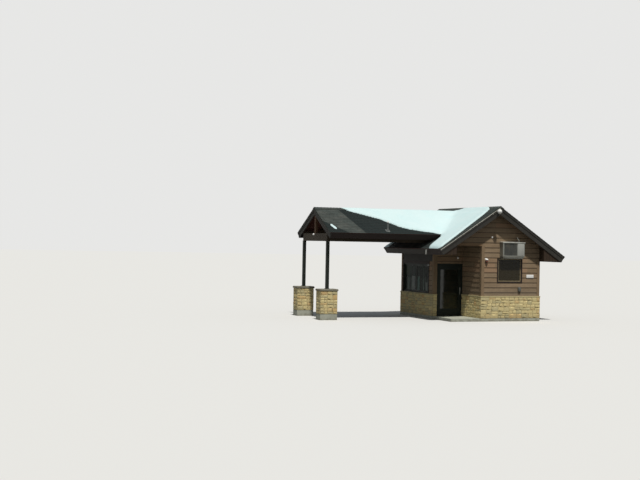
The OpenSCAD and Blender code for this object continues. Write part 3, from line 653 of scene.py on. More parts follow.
def siding_finish(name, stretch):
    """Lapped boards: the tone changes from board to board, butt joints show as thin dark lines, and laps get
    painted shade.
    """
    base, lap = colours().siding, sizes().lap
    finish = wood(name, base, stretch, dark=0.5, scale=2.2)
    parts = finish.split(finish.place)
    level = finish.math("SUBTRACT", parts["Z"], sizes().lap_line)
    flat = finish.flat(finish.math("ADD", parts["X"], parts["Y"]), level)
    tone = finish.group("Courses", Vector=flat, Row_height=lap)["Tone"]
    warm = finish.group("Courses", Vector=flat, Row_height=lap, Unit_width=2.44)["Tone"]
    # Painted shade: a dark band just above each lap line stands in for the shadow under the lap
    drip = finish.ramp(finish.math("FLOORED_MODULO", level, lap), 0.045, 0.004)
    finish.cover(tinted(base, 0.62, 0.62, 0.54), tone, 0.45)
    finish.cover(srgb(176, 140, 112), finish.ramp(warm, 0.6, 1.0), 0.5)
    # Painted shade along the laps
    finish.cover(tinted(base, 0.16), drip, 0.85)
    finish.cover(srgb(122, 112, 98), finish.mask("Splash", Foot=1.0, Top=1.5), 0.45)
    finish.done()


def soffit_finish(name, base):
    """Close-set soffit boards along Y with a groove between each two."""
    finish = wood(name, base, GRAIN_Y, dark=0.5)
    parts = finish.split(finish.place)
    rows = finish.group("Courses", Vector=finish.flat(parts["Y"], parts["X"]), Row_height=0.14, Joint=0.006)
    finish.cover(tinted(base, 0.62), rows["Tone"], 0.35)
    finish.cover(tinted(base, 0.15), rows["Joint"], 0.9)
    finish.done()


def concrete_finish(name, base, upper=None, level=1.1):
    """Cast concrete, stained at its foot, with a second colour above a level if one is given."""
    finish = Finish(name, base, 0.85)
    if upper is not None:
        finish.cover(upper, finish.within((-20, -20, level), (20, 20, 20)))
    patches = finish.mask("Blotches", Scale=3.0)
    fine = finish.mask("Granules", Scale=140.0)
    finish.cover(tinted(base, 0.6), patches, 0.45)
    finish.cover(tinted(base, 0.72), fine, 0.25)
    finish.cover(srgb(120, 112, 96), finish.mask("Splash", Foot=0.0, Top=0.12), 0.5)
    finish.bump(fine, 0.001)
    finish.bump(patches, 0.002)
    finish.done()


def stone_finish(name, base):
    """Laid stone: each one takes its own tint from the attribute that its mesh carries."""
    finish = Finish(name, base, 0.82)
    tone = finish.node("Attribute", attribute_name="tone").outputs["Fac"]
    veins = finish.mask("Wood grain", Stretch=(2.0, 2.0, 9.0), Scale=5.0)
    grit = finish.mask("Granules", Scale=160.0)
    finish.cover(srgb(214, 166, 104), finish.ramp(tone, 0.78, 0.98), 0.6)
    finish.cover(srgb(196, 188, 148), finish.ramp(tone, 0.40, 0.10), 0.7)
    finish.cover(tinted(base, 0.55), veins, 0.3)
    finish.cover(srgb(214, 202, 160), finish.mask("Blotches", Scale=9.0), 0.3)
    finish.cover(srgb(206, 148, 88), finish.mask("Blotches", Scale=4.0, Low=0.56, High=0.72), 0.35)
    finish.cover(tinted(base, 0.6), grit, 0.15)
    finish.cover(srgb(122, 110, 82), finish.mask("Splash", Foot=0.1, Top=0.4), 0.35)
    finish.bump(grit, 0.0012)
    finish.bump(veins, 0.004)
    finish.done()


def shingle_finish(name, along, wet=None):
    """Granular shingles: tone by tab and row, darker where melt water runs, and boards underneath."""
    base = colours().shingle
    finish = Finish(name, base, 0.9, Specular_IOR_Level=0.12)
    parts = finish.split(finish.place)
    pitch = sizes().pitch if along == "Y" else sizes().canopy_pitch
    rise = finish.math("MULTIPLY", parts["Z"], 1 / math.sin(math.atan(pitch)))
    rows = finish.group("Courses", Vector=finish.flat(parts[along], rise), Unit_width=sizes().tab_w,
                        Row_height=sizes().exposure, Joint=0.0)
    grit = finish.mask("Granules", Scale=300.0)
    finish.cover(tinted(base, 0.45), rows["Tone"], 0.55)
    finish.cover(tinted(base, 0.35), grit, 0.4)
    finish.cover(srgb(112, 112, 106), finish.mask("Blotches", Scale=2.4), 0.3)
    if wet:
        finish.cover(srgb(32, 40, 40), wet(finish, parts), 0.92)
    lean = finish.split(finish.node("NewGeometry").outputs["Normal"])
    finish.cover(srgb(84, 52, 46), finish.ramp(lean["Z"], -0.3, -0.4))
    finish.bump(grit, 0.001)
    finish.done()


def canopy_wet(finish, parts):
    """Wet from the melting snow: past a slanting line towards the booth, and in the outer lower corner."""
    near = finish.ramp(finish.math("MULTIPLY_ADD", parts["Y"], 0.2917, parts["X"]), -5.01, -4.95)
    low = finish.ramp(finish.math("MULTIPLY_ADD", parts["X"], 1.0374, parts["Y"]), -5.13, -5.20)
    return finish.math("MAXIMUM", near, low)


def all_wet(finish, parts):
    """Wet all over, with drier patches."""
    return finish.math("SUBTRACT", 1.0, finish.mask("Blotches", Scale=0.8, Low=0.35, High=0.75))


def sheet_finish(name, base, layers, roughness=0.5, **constants):
    """Sheet metal under layers of colour, each on its water marks, on its blotches or inside a box."""
    finish = Finish(name, base, **constants)
    patches = finish.mask("Blotches", Scale=6.0)
    for where, tone, amount in layers:
        if where == "runs":
            mask = finish.mask("Wood grain", Stretch=(9.0, 9.0, 0.8), Scale=4.0)
        elif where == "patches":
            mask = patches
        else:
            mask = finish.within(*where)
        finish.cover(tone, mask, amount)
    finish.rough(patches, roughness - 0.08, roughness + 0.15)
    finish.bump(patches, 0.0006)
    finish.done()


def painted_metal(name, base, roughness, metallic=0.0, dust=0.3, shine=0.3):
    """Coated metal with a slight unevenness, dust above and water marks down its faces."""
    layers = [("runs", tinted(base, 0.6), 0.35), ("patches", srgb(124, 116, 100), dust * 0.6)]
    sheet_finish(name, base, layers, roughness, Metallic=metallic, Specular_IOR_Level=shine)


def cooler_finish(name, base, dark):
    """Coated sheet, weathered, with painted shade on its louvres and a painted highlight on its lid."""
    low, high = COOLER
    # Painted shade: the louvred recess is darkened
    louvres = ((low.x + LOUVRES_X[0], low.y - 0.01, low.z + LOUVRES_Z[0]),
               (low.x + LOUVRES_X[1], high.y - 0.02, low.z + LOUVRES_Z[1]))
    # Painted highlight: the lid and what stands on it are made pale
    above = ((low.x - 0.01, low.y - 0.01, low.z + COOLER_LID), (high.x + 0.01, high.y, high.z + 0.01))
    sheet_finish(name, base, [
        (louvres, dark, 0.9), ("runs", tinted(base, 0.6), 0.35), (above, srgb(206, 206, 198), 0.75),
        ("patches", srgb(116, 108, 92), 0.25)], Metallic=0.3)


def pipe_finish(name, base):
    """Weathered grey pipe with a pale cap."""
    cap = ((VENT[0].x, VENT[0].y, VENT[1].z - VENT_CAP), tuple(VENT[1]))
    sheet_finish(name, base, [("patches", srgb(124, 116, 100), 0.15), (cap, srgb(238, 242, 238), 0.95)])


def filmed_finish(name, base, film, amount, rough, pattern, values, **constants):
    """A smooth surface with one thin film on it, such as dust or wiping marks, that also dulls it."""
    finish = Finish(name, base, **constants)
    mask = finish.mask(pattern, **values)
    finish.cover(film, mask, amount)
    finish.rough(mask, *rough)
    finish.done()


def lane_glass_finish(name, base):
    """Dark glazing with pale upright streaks, paler in its lower half, and marks of colour laid over boxes
    of it.
    """
    finish = Finish(name, base, Metallic=0.0, IOR=1.1, Transmission_Weight=0.3, Specular_IOR_Level=0.4)
    pulled = finish.node("Mapping", {"Vector": finish.place, "Scale": (1.0, 1.0, 0.08)}).outputs[0]
    pale_streaks = finish.mask("Blotches", Vector=pulled, Scale=3.4, Low=0.50, High=0.64)
    runs = finish.mask("Wood grain", Vector=pulled, Stretch=(1, 1, 1), Scale=9.0)
    middle = (LANE_WINDOW[0].z + LANE_WINDOW[1].z) / 2
    sill = finish.ramp(finish.split(finish.place)["Z"], middle + 0.06, middle - 0.04)
    finish.cover(srgb(96, 116, 102), pale_streaks, 0.6)
    finish.cover(srgb(60, 74, 62), runs, 0.3)
    finish.cover(srgb(150, 168, 158), finish.math("MULTIPLY", pale_streaks, sill), 0.5)
    for near, far, foot, top, tone in PANE_MARKS:
        finish.cover(tone, finish.within((LEFT, near, foot), (RETURN, far, top)), 0.8)
    finish.rough(runs, 0.04, 0.16)
    finish.done()


def snow_finish(name, base):
    """Settled snow in uneven drifts, which painted shade makes a little bluer."""
    finish = Finish(name, base, 0.7)
    drift_and_shade = finish.mask("Blotches", Scale=1.6)
    grain = finish.mask("Granules", Scale=90.0)
    # Painted shade: the drifts are made a little darker and bluer
    finish.cover(tinted(base, 0.88, 0.97, 0.98), drift_and_shade, 0.5)
    finish.cover(tinted(base, 0.94), grain, 0.3)
    finish.bump(grain, 0.002)
    finish.bump(drift_and_shade, 0.01)
    finish.done()


class BOOTH_OT_finishes(bpy.types.Operator):
    """Mixes every finish and gives the CAD nodes theirs."""

    bl_idname = "booth.finishes"
    bl_label = "Finishes"

    def execute(self, context):
        build_groups()
        tones = colours()
        siding_finish("siding_along_x", GRAIN_X)
        siding_finish("siding_along_y", GRAIN_Y)
        wood("inner_sheathing", tinted(tones.siding, 0.7), GRAIN_UP).done()
        wood("corner_board_stain", tones.corner, GRAIN_UP, dark=0.6).done()
        wood("trim_paint", tones.trim, GRAIN_EVEN, dark=0.55, wear=0.25).done()
        wood("casing_paint", tones.brown, GRAIN_EVEN, dark=0.6).done()
        wood("beam_stain", tones.timber, GRAIN_X, dark=0.5).done()
        wood("tie_beam_stain", tones.timber, GRAIN_Y, dark=0.55).done()
        wood("king_post_stain", tones.king, GRAIN_UP, dark=0.5).done()
        painted_trim("canopy_fascia_paint", tones.brown, GRAIN_X)
        painted_trim("fascia_paint", tones.brown, GRAIN_Y, (
            (ROOF_LEFT[0].x - 0.1, FASCIA_JOINT, 0), (LEFT, BACK + 1, 5), tones.trim))
        painted_trim("frieze_paint", tones.trim, GRAIN_X, (
            (LEFT - 0.1, -0.1, HEADER - 0.1), (RETURN + 0.1, 0.02, HEADER + 0.2), tones.header))
        soffit_finish("soffit_stain", tones.soffit)
        concrete_finish("cast_concrete", tones.concrete)
        concrete_finish("mortar", tones.mortar)
        concrete_finish("pier_concrete", tones.concrete, tones.pier_cap)
        concrete_finish("cap_stone", tinted(tones.stone, 0.75, 0.78, 0.85))
        stone_finish("laid_stone", tones.stone)
        shingle_finish("main_shingles", "Y", all_wet)
        shingle_finish("far_shingles", "Y")
        shingle_finish("canopy_shingles", "X", canopy_wet)
        shingle_finish("cap_shingles", "Y")
        painted_metal("black_steel", tones.steel, 0.6, dust=0.1, shine=0.15)
        painted_metal("panel_sheet", srgb(176, 177, 170), 0.45, 0.1, dust=0.15)
        painted_metal("bright_metal", srgb(160, 160, 152), 0.38, 0.6, dust=0.2)
        painted_metal("box_enamel", srgb(96, 100, 98), 0.5)
        painted_metal("beige_frame", tones.beige, 0.5)
        painted_metal("blind_slats", tones.blind, 0.6)
        painted_metal("lamp_lens", tones.lens, 0.25)
        cooler_finish("cooler_sheet", tones.metal, tones.louvre)
        pipe_finish("pipe_metal", srgb(92, 97, 96))
        lane_glass_finish("lane_glazing", tones.glass)
        filmed_finish("front_glazing", tones.clear, tinted(tones.clear, 0.8), 0.3, (0.05, 0.12),
                      "Blotches", {"Scale": 5.0}, Metallic=0.0, IOR=1.3, Alpha=0.8)
        filmed_finish("door_glazing", tinted(tones.glass, 0.6), srgb(60, 74, 66), 0.08, (0.04, 0.14),
                      "Wood grain", {"Stretch": (3, 3, 1), "Scale": 2.0}, Metallic=0.0, IOR=1.55,
                      Transmission_Weight=0.3)
        filmed_finish("opal_white", tones.white, srgb(196, 194, 184), 0.2, (0.22, 0.5),
                      "Blotches", {"Scale": 22.0})
        snow_finish("settled_snow", tones.snow)
        for finish, nodes in CAD_FINISHES.items():
            for node in nodes.split():
                dress(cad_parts[node], finish)
        return {"FINISHED"}


def lapped_boards(facing, plane, start, end, low, high):
    """Lapped boards over one rectangle of a wall, cut off level at its top and bottom."""
    reach = sizes().lap
    u0, u1 = span(facing, start, end)
    first = math.floor((low - sizes().lap_line) / reach)
    count = math.ceil((high - sizes().lap_line) / reach) - first
    foot = sizes().lap_line + first * reach
    board = block("board", (u0, -sizes().board_t, foot), (u1, 0, foot + reach))
    shift(board, lambda c: c.z > foot + reach / 2 and c.y < -0.001, (0, sizes().board_t * 0.6, 0))
    repeat(board, count, (0, 0, reach))
    cut(board, (0, 0, low), (0, 0, -1))
    cut(board, (0, 0, high), (0, 0, 1))
    return stand(board, facing, plane)


class BOOTH_OT_siding(bpy.types.Operator):
    """Lays lapped boards on every wall above the stone, round its openings and trim."""

    bl_idname = "booth.siding"
    bl_label = "Siding"

    def execute(self, context):
        pitch = sizes().pitch
        post = 0.10
        strip = 0.085
        casing = 0.05
        lane_side, lane_head = LANE_WINDOW[0].y - 0.06, LANE_WINDOW[1].z + 0.13
        left, right = FRONT_WINDOW[0].x - casing, FRONT_WINDOW[1].x + casing
        bottom, top = FRONT_WINDOW[0].z - casing, FRONT_WINDOW[1].z + 0.01
        peak = RIDGE - 0.150 / math.cos(math.atan(pitch)) - 0.002
        walls = {
            "front_siding": ("front", 0.0, [
                (RETURN + post, RIGHT - post, CAP_TOP, bottom),
                (RETURN + post, left, bottom, top),
                (right, RIGHT - post, bottom, top),
                (RIGHT - post, RIGHT, SOFFIT_RIGHT, top),
                (RETURN + post, RIGHT, top, HEADER),
                (RETURN - 0.028, RIGHT, HEADER, HEADER + strip),
                (LEFT, RIGHT, HEADER + strip, peak - 0.02),
            ]),
            "back_siding": ("back", BACK, [
                (LEFT + post, RIGHT - post, CAP_TOP, SOFFIT_RIGHT),
                (LEFT + post, RIGHT, SOFFIT_RIGHT, SOFFIT_LEFT),
                (LEFT, RIGHT, SOFFIT_LEFT, peak - 0.02),
            ]),
            "far_siding": ("right", RIGHT, [(post, BACK - post, CAP_TOP, SOFFIT_RIGHT - 0.14)]),
            "lane_siding": ("left", LEFT, [(PORCH + post, lane_side, CAP_TOP, lane_head)]),
            "return_siding": ("left", RETURN, [(post, PORCH, CAP_TOP, HEADER)]),
            "door_wall_siding": ("front", PORCH, [
                (DOOR_WALL_LEFT, RETURN - sizes().board_t, DOOR_FRAME[1].z, HEADER)]),
        }
        for name, (facing, plane, areas) in walls.items():
            piece = joined(name, [lapped_boards(facing, plane, *area) for area in areas])
            along = "x" if facing in ("front", "back") else "y"
            if along == "x":
                cut(piece, (0, 0, peak), (pitch, 0, 1))
                cut(piece, (0, 0, peak), (-pitch, 0, 1))
            hand_over(piece, "siding_along_" + along)
        return {"FINISHED"}


def laid(area, rng, most_w, most_h):
    """Divides a rectangle into stones of uneven size, across its longer side each time."""
    u0, z0, u1, z1 = area
    wide, high = u1 - u0, z1 - z0
    if wide <= most_w and high <= most_h and (wide < most_w * 0.7 or rng.random() < 0.5):
        return [area]
    share = rng.uniform(0.36, 0.64)
    if wide / most_w >= high / most_h:
        middle = u0 + wide * share
        halves = (u0, z0, middle, z1), (middle, z0, u1, z1)
    else:
        middle = z0 + high * share
        halves = (u0, z0, u1, middle), (u0, middle, u1, z1)
    return [stone for half in halves for stone in laid(half, rng, most_w, most_h)]


def stone_blanks():
    """A few rough stones of unit size with pillowed faces, to be fitted to their places."""
    blanks = []
    for seed in range(3, 10):
        blank = block("blank", (-0.5, -1, -0.5), (0.5, 0.4, 0.5))
        pick(blank, "FACE")
        bpy.ops.mesh.subdivide(number_cuts=2)
        close_edit()
        pick(blank, "VERT", lambda v: v.co.y < -0.99 and max(abs(v.co.x), abs(v.co.z)) > 0.49)
        bpy.ops.transform.translate(value=(0, 0.45, 0))
        bpy.ops.transform.resize(value=(0.985, 1, 0.985))
        close_edit()
        pick(blank, "VERT", lambda v: v.co.y < -0.5)
        bpy.ops.transform.vertex_random(offset=0.07, seed=seed)
        close_edit()
        smooth(blank, 50)
        blanks.append(blank)
    return blanks


def stone_face(facing, plane, start, end, low, high, blanks, rng):
    """Stones laid over one rectangle of a wall, each with a tone of its own."""
    u0, u1 = span(facing, start, end)
    stones = []
    for x0, z0, x1, z1 in laid((u0, low, u1, high), rng, sizes().stone_w, sizes().stone_h):
        wide, tall = x1 - x0 - sizes().joint, z1 - z0 - sizes().joint
        depth = sizes().relief * rng.uniform(0.75, 1.1)
        flip = rng.choice((-1, 1))
        place = Matrix.Translation(((x0 + x1) / 2, 0, (z0 + z1) / 2))
        fit = Matrix.Diagonal((wide, depth, tall, 1))
        turn = Matrix.Rotation(math.pi * (flip < 0), 4, "Y")
        stone = copied(rng.choice(blanks), place @ fit @ turn)
        tone = stone.data.attributes.new("tone", "FLOAT", "POINT")
        tone.data.foreach_set("value", [rng.random()] * len(stone.data.vertices))
        stones.append(stone)
    return stand(joined("stones", stones), facing, plane)


class BOOTH_OT_stonework(bpy.types.Operator):
    """Lays stone on the wainscot and on the two piers."""

    bl_idname = "booth.stonework"
    bl_label = "Stonework"

    def execute(self, context):
        blanks = stone_blanks()
        rng = random.Random(41)
        low, high = STONE
        porch_face = PORCH + low.y
        return_face = RETURN + low.y
        faces = {
            "lane_stones": ("left", low.x, porch_face, high.y),
            "porch_end_stones": ("front", porch_face, low.x, DOOR_WALL_LEFT),
            "return_stones": ("left", return_face, low.y, porch_face + 0.04),
            "front_stones": ("front", low.y, return_face, high.x),
            "far_stones": ("right", high.x, low.y, high.y),
            "back_stones": ("back", high.y, low.x, high.x),
        }
        pieces = [joined(name, [stone_face(*face, low.z, high.z, blanks, rng)])
                  for name, face in faces.items()]
        x0, x1 = PIERS[0].x, PIERS[1].x
        for name, y0 in (("front_pier_stones", PIERS[0].y), ("back_pier_stones", PIERS[1].y - PIER_SIDE)):
            y1 = y0 + PIER_SIDE
            sides = ("front", y0, x0, x1), ("back", y1, x0, x1), ("left", x0, y0, y1), ("right", x1, y0, y1)
            pieces.append(joined(name, [
                stone_face(*side, PIERS[0].z, PIERS[1].z, blanks, rng) for side in sides]))
        for piece in pieces:
            hand_over(piece, "laid_stone")
        for blank in blanks:
            bpy.data.objects.remove(blank)
        return {"FINISHED"}


def shingle_field(name, wide, rise):
    """Staggered rows of tabs, each thicker at its lower edge."""
    tab_w, exposure, butt = sizes().tab_w, sizes().exposure, sizes().butt
    tab = block(name, (TAB_GAP / 2, 0, 0), (tab_w - TAB_GAP / 2, exposure, butt))
    shift(tab, lambda c: c.y > exposure / 2 and c.z > butt / 2, (0, 0, -butt * 0.85))
    repeat(tab, math.ceil(wide / tab_w) + 1, (tab_w, 0, 0))
    rows = [tab]
    for row, lag in enumerate(TAB_LAG, 1):
        rows.append(copied(tab, Matrix.Translation((-tab_w * lag, exposure * row, 0))))
    field = joined(name, rows)
    repeat(field, math.ceil(rise / exposure / len(rows)) + 1, (0, exposure * len(rows), 0))
    cut(field, (0, 0, 0), (-1, 0, 0))
    return cut(field, (wide, 0, 0), (1, 0, 0))


def shingled_slope(name, wide, run, pitch, ridge, toward, corner):
    """A field of shingles laid from a corner of the eave towards the ridge, up to its caps."""
    field = shingle_field(name, wide, run / math.cos(math.atan(pitch)))
    along, up = Vector((toward[1], -toward[0], 0)), Vector((*toward, pitch)).normalized()
    field.data.transform(framed(along, up, along.cross(up), (*corner, ridge - pitch * run)))
    stop = run - UNDER_CAPS
    return cut(field, (corner[0] + toward[0] * stop, corner[1] + toward[1] * stop, 0), (*toward, 0))


def ridge_row(name, pitch, wide, matrix):
    """A row of folded cap shingles that lap each other, made along +Y and put onto a ridge."""
    reach = sizes().exposure
    cap = block(name, (-CAP_HALF, 0, 0), (CAP_HALF, reach, CAP_T))
    pick(cap)
    bpy.ops.mesh.bisect(plane_co=(0, 0, 0), plane_no=(1, 0, 0))
    close_edit()
    shift(cap, lambda c: abs(c.x) > CAP_HALF / 2, (0, 0, -CAP_HALF * pitch))
    shift(cap, lambda c: c.y < reach / 2, (0, 0, 0.006))
    repeat(cap, math.ceil(wide / reach), (0, reach, 0))
    cut(cap, (0, wide, 0), (0, 1, 0))
    cap.data.transform(matrix)
    return cap


class BOOTH_OT_shingles(bpy.types.Operator):
    """Lays shingle tabs on the four slopes and cap shingles on both ridges."""

    bl_idname = "booth.shingles"
    bl_label = "Shingles"

    def execute(self, context):
        pitch, canopy_pitch = sizes().pitch, sizes().canopy_pitch
        left, right, end = ROOF_LEFT[0].x, ROOF_RIGHT[1].x, CANOPY[0].x
        front, back = ROOF_LEFT[0].y, ROOF_LEFT[1].y
        main = (pitch, RIDGE)
        canopy = (-end, CANOPY_HALF, canopy_pitch, CANOPY_RIDGE)
        main_caps = Matrix.Translation((0, front, RIDGE + CAP_LIFT))
        canopy_caps = (Matrix.Translation((end, CANOPY_Y, CANOPY_RIDGE + CAP_LIFT))
                       @ Matrix.Rotation(-math.pi / 2, 4, "Z"))
        pieces = (
            (shingled_slope("lane_slope_shingles", back - front, -left, *main, (1, 0), (left, back)),
             "main_shingles"),
            (shingled_slope("far_slope_shingles", back - front, right, *main, (-1, 0), (right, front)),
             "far_shingles"),
            (shingled_slope("canopy_front_shingles", *canopy, (0, 1), (end, CANOPY_Y - CANOPY_HALF)),
             "canopy_shingles"),
            (shingled_slope("canopy_back_shingles", *canopy, (0, -1), (0, CANOPY_Y + CANOPY_HALF)),
             "canopy_shingles"),
            (ridge_row("main_ridge_shingles", pitch, back - front, main_caps), "cap_shingles"),
            (ridge_row("canopy_ridge_shingles", canopy_pitch, -end, canopy_caps), "cap_shingles"),
        )
        for piece, finish in pieces:
            if piece.name.startswith("canopy"):
                cut(piece, (0, 0, RIDGE), (pitch, 0, -1))
            hand_over(piece, finish)
        return {"FINISHED"}


def main_height(x, y):
    """Height of the main roof's top at a point of the plan, which is the same all along Y."""
    return RIDGE - sizes().pitch * abs(x)


def roof_height(x, y):
    """Height of the roof's top at a point of the plan, with the valleys filled as snow fills them."""
    main = main_height(x, y)
    away = abs(y - CANOPY_Y)
    if away > CANOPY_HALF or x < CANOPY[0].x:
        return main
    canopy = CANOPY_RIDGE - sizes().canopy_pitch * away
    if x < ROOF_LEFT[0].x:
        return canopy
    blend = 0.12
    return max(main, canopy) + max(0.0, blend - abs(main - canopy)) ** 2 / (4 * blend)


def outline_distance(x, y, outline):
    """How far a point lies inside an outline, below 0 outside, and the nearest point of the outline."""
    point = Vector((x, y))
    best, nearest, inside = math.inf, None, False
    for (ax, ay), (bx, by) in zip(outline, outline[1:] + outline[:1]):
        a, b = Vector((ax, ay)), Vector((bx, by))
        t = max(0.0, min(1.0, (point - a).dot(b - a) / (b - a).length_squared))
        foot = a.lerp(b, t)
        if (point - foot).length < best:
            best, nearest = (point - foot).length, foot
        if (ay > y) != (by > y) and x < (bx - ax) * (y - ay) / (by - ay) + ax:
            inside = not inside
    return (best if inside else -best), nearest


def snow_depth(x, y, inside):
    """Share of the snow's full depth: uneven, thinner along the canopy's ridge and round at the edge."""
    share = min(1.0, max(0.0, inside) / sizes().snow_edge)
    swell = (1 + 0.25 * noise.noise(Vector((x * 1.3, y * 1.3, 3)))
             + 0.08 * noise.noise(Vector((x * 6, y * 6, 9))))
    thin = 0.55 + 0.45 * min(1.0, abs(y - CANOPY_Y) / 0.5) if x < -0.4 else 0.55
    return swell * thin * math.sqrt(1 - (1 - share) ** 2)


def snow_sheet(name, outline, cell, depth, height):
    """A layer of snow on the roof inside an outline, rounded off along its edge."""
    xs, ys = [p[0] for p in outline], [p[1] for p in outline]
    wide, deep = max(xs) - min(xs) + 2 * cell, max(ys) - min(ys) + 2 * cell
    deselect()
    bpy.ops.mesh.primitive_grid_add(
        x_subdivisions=int(wide / cell), y_subdivisions=int(deep / cell), size=1,
        location=((max(xs) + min(xs)) / 2, (max(ys) + min(ys)) / 2, 0))
    sheet = bpy.context.object
    sheet.name = name
    sheet.scale = (wide, deep, 1)
    settle(sheet)
    far = set()
    for v in sheet.data.vertices:
        inside, nearest = outline_distance(v.co.x, v.co.y, outline)
        if inside < -cell * 0.75:
            far.add(v.index)
        elif inside < cell * 0.25:
            v.co.x, v.co.y = nearest
    pick(sheet, "VERT", lambda v: v.index in far)
    bpy.ops.mesh.delete(type="VERT")
    bpy.ops.mesh.select_all(action="SELECT")
    bpy.ops.mesh.remove_doubles(threshold=cell * 0.08)
    bpy.ops.mesh.delete_loose()
    bpy.ops.mesh.select_all(action="SELECT")
    bpy.ops.mesh.extrude_region_move(TRANSFORM_OT_translate={"value": (0, 0, 1)})
    close_edit()
    for v in sheet.data.vertices:
        x, y, raised = v.co.x, v.co.y, v.co.z > 0.5
        v.co.z = height(x, y) - 0.004
        if raised:
            v.co.z += 0.006 + depth * snow_depth(x, y, outline_distance(x, y, outline)[0])
    pick(sheet)
    bpy.ops.mesh.normals_make_consistent(inside=False)
    close_edit()
    smooth(sheet, 60)
    return sheet


class BOOTH_OT_snow(bpy.types.Operator):
    """Lays the settled snow on the roof."""

    bl_idname = "booth.snow"
    bl_label = "Snow"

    def execute(self, context):
        for name, outline, cell, share, height in (
            ("roof_snow", SNOW_COVER, 0.055, 1.0, roof_height),
            ("snow_patch", SNOW_PATCH, 0.025, 0.4, roof_height),
            ("rake_snow", SNOW_RAKE, 0.035, 0.6, main_height),
        ):
            sheet = snow_sheet(name, outline, cell, sizes().snow_t * share, height)
            hand_over(sheet, "settled_snow")
        return {"FINISHED"}


def drip_strip(start, end, out, high):
    """A flat metal strip from one point to another with a lip turned out along its lower edge."""
    start, end, out = Vector(start), Vector(end), Vector(out)
    along = (end - start).normalized()
    down = out.cross(along).normalized()
    if down.z > 0:
        down = -down
    strip = block("drip", (0, 0, 0), ((end - start).length, DRIP_T, high))
    pick(strip, "FACE", lambda f: f.normal.z > 0.9)
    bpy.ops.mesh.extrude_region_move(TRANSFORM_OT_translate={"value": (0, DRIP_T * 2.2, high * 0.18)})
    close_edit()
    matrix = framed(along, out, down, start)
    strip.data.transform(matrix)
    if matrix.to_3x3().determinant() < 0:
        pick(strip, "FACE")
        bpy.ops.mesh.flip_normals()
        close_edit()
    return strip


def hex_bolt(centre, out, size):
    """A hexagon bolt head on a round washer, standing out along one direction."""
    centre, out = Vector(centre), Vector(out)
    washer = rod("washer", centre, centre + out * size * 0.15, size * 1.1, 16)
    head = rod("head", centre + out * size * 0.15, centre + out * size * 0.8, size * 0.75, 6)
    ease(head, size * 0.08, 1)
    return joined("bolt", [washer, head])


class BOOTH_OT_edges(bpy.types.Operator):
    """Adds the metal drip edges, the fascia joint's cover and the bolts."""

    bl_idname = "booth.edges"
    bl_label = "Edges and bolts"

    def execute(self, context):
        strips = []
        for y, out in ((BARGE[0].y, (0, -1, 0)), (BARGE[1].y, (0, 1, 0))):
            for x in (ROOF_LEFT[0].x, ROOF_RIGHT[1].x):
                low = main_height(x, y) - DRIP_DROP
                strips.append(drip_strip((x, y, low), (0, y, RIDGE - DRIP_DROP), out, 0.026))
        # Painted highlight: the front drip edge on the lane side gets bright metal, the others the trim's
        # paint
        hand_over(strips.pop(0), "bright_metal").name = "worn_drip_edge"
        hand_over(joined("rake_drip_edges", strips), "trim_paint")
        top = (CANOPY_END, CANOPY_Y, CANOPY_RIDGE - DRIP_DROP)
        low = top[2] - sizes().canopy_pitch * CANOPY_HALF
        strips = [drip_strip((CANOPY_END, y, low), top, (-1, 0, 0), 0.022)
                  for y in (CANOPY_Y - CANOPY_HALF, CANOPY_Y + CANOPY_HALF)]
        hand_over(joined("canopy_drip_edges", strips), "black_steel")
        cover = block(
            "fascia_joint_cover", (FASCIAS[0].x - 0.004, FASCIA_JOINT - 0.05, SOFFIT_LEFT - 0.02),
            (FASCIAS[0].x + 0.002, FASCIA_JOINT + 0.02, SOFFIT_LEFT + 0.185))
        shift(cover, lambda c: c.z > SOFFIT_LEFT and c.y < FASCIA_JOINT, (0, -0.06, 0))
        ease(cover, 0.0015, 1)
        hand_over(cover, "bright_metal")
        bolts = []
        post_x = (POSTS[0].x + POSTS[1].x) / 2
        beam_z = (TIE_BEAM[0].z + TIE_BEAM[1].z) / 2
        toward_end = (-1, 0, 0)
        for y in (POSTS[0].y + POST_IN, POSTS[1].y - POST_IN):
            for dy in PLATE_BOLTS:
                for dx in PLATE_BOLTS:
                    foot = (post_x + dx, y + dy, POSTS[0].z + PLATE_T)
                    bolts.append(hex_bolt(foot, (0, 0, 1), PLATE_HEAD))
            for dz in BEAM_BOLTS:
                bolts.append(hex_bolt((TIE_BEAM[0].x, y, beam_z + dz), toward_end, BEAM_HEAD))
        for dz in KING_BOLTS:
            bolts.append(hex_bolt((TIE_BEAM[0].x, CANOPY_Y, TIE_BEAM[1].z + dz), toward_end, KING_HEAD))
        hand_over(joined("bolts", bolts), "black_steel")
        return {"FINISHED"}


class BOOTH_OT_glazing(bpy.types.Operator):
    """Divides the windows' glass into the front pane and the lane panes, each with its own finish."""

    bl_idname = "booth.glazing"
    bl_label = "Glazing"

    def execute(self, context):
        panes = (
            ("front_pane", "front_glazing", lambda v: v.co.x < RETURN),
            ("lane_panes", "lane_glazing", lambda v: v.co.x > RETURN),
        )
        copies = [copied(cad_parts["window_glass"]) for pane in panes]
        for pane, (name, finish, other) in zip(copies, panes):
            pane.name = name
            pane.data.name = name
            pick(pane, "VERT", other)
            bpy.ops.mesh.delete(type="VERT")
            bpy.ops.mesh.select_all(action="SELECT")
            bpy.ops.mesh.remove_doubles(threshold=0.0001)
            close_edit()
            hand_over(pane, finish)
            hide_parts("window_glass")
        return {"FINISHED"}


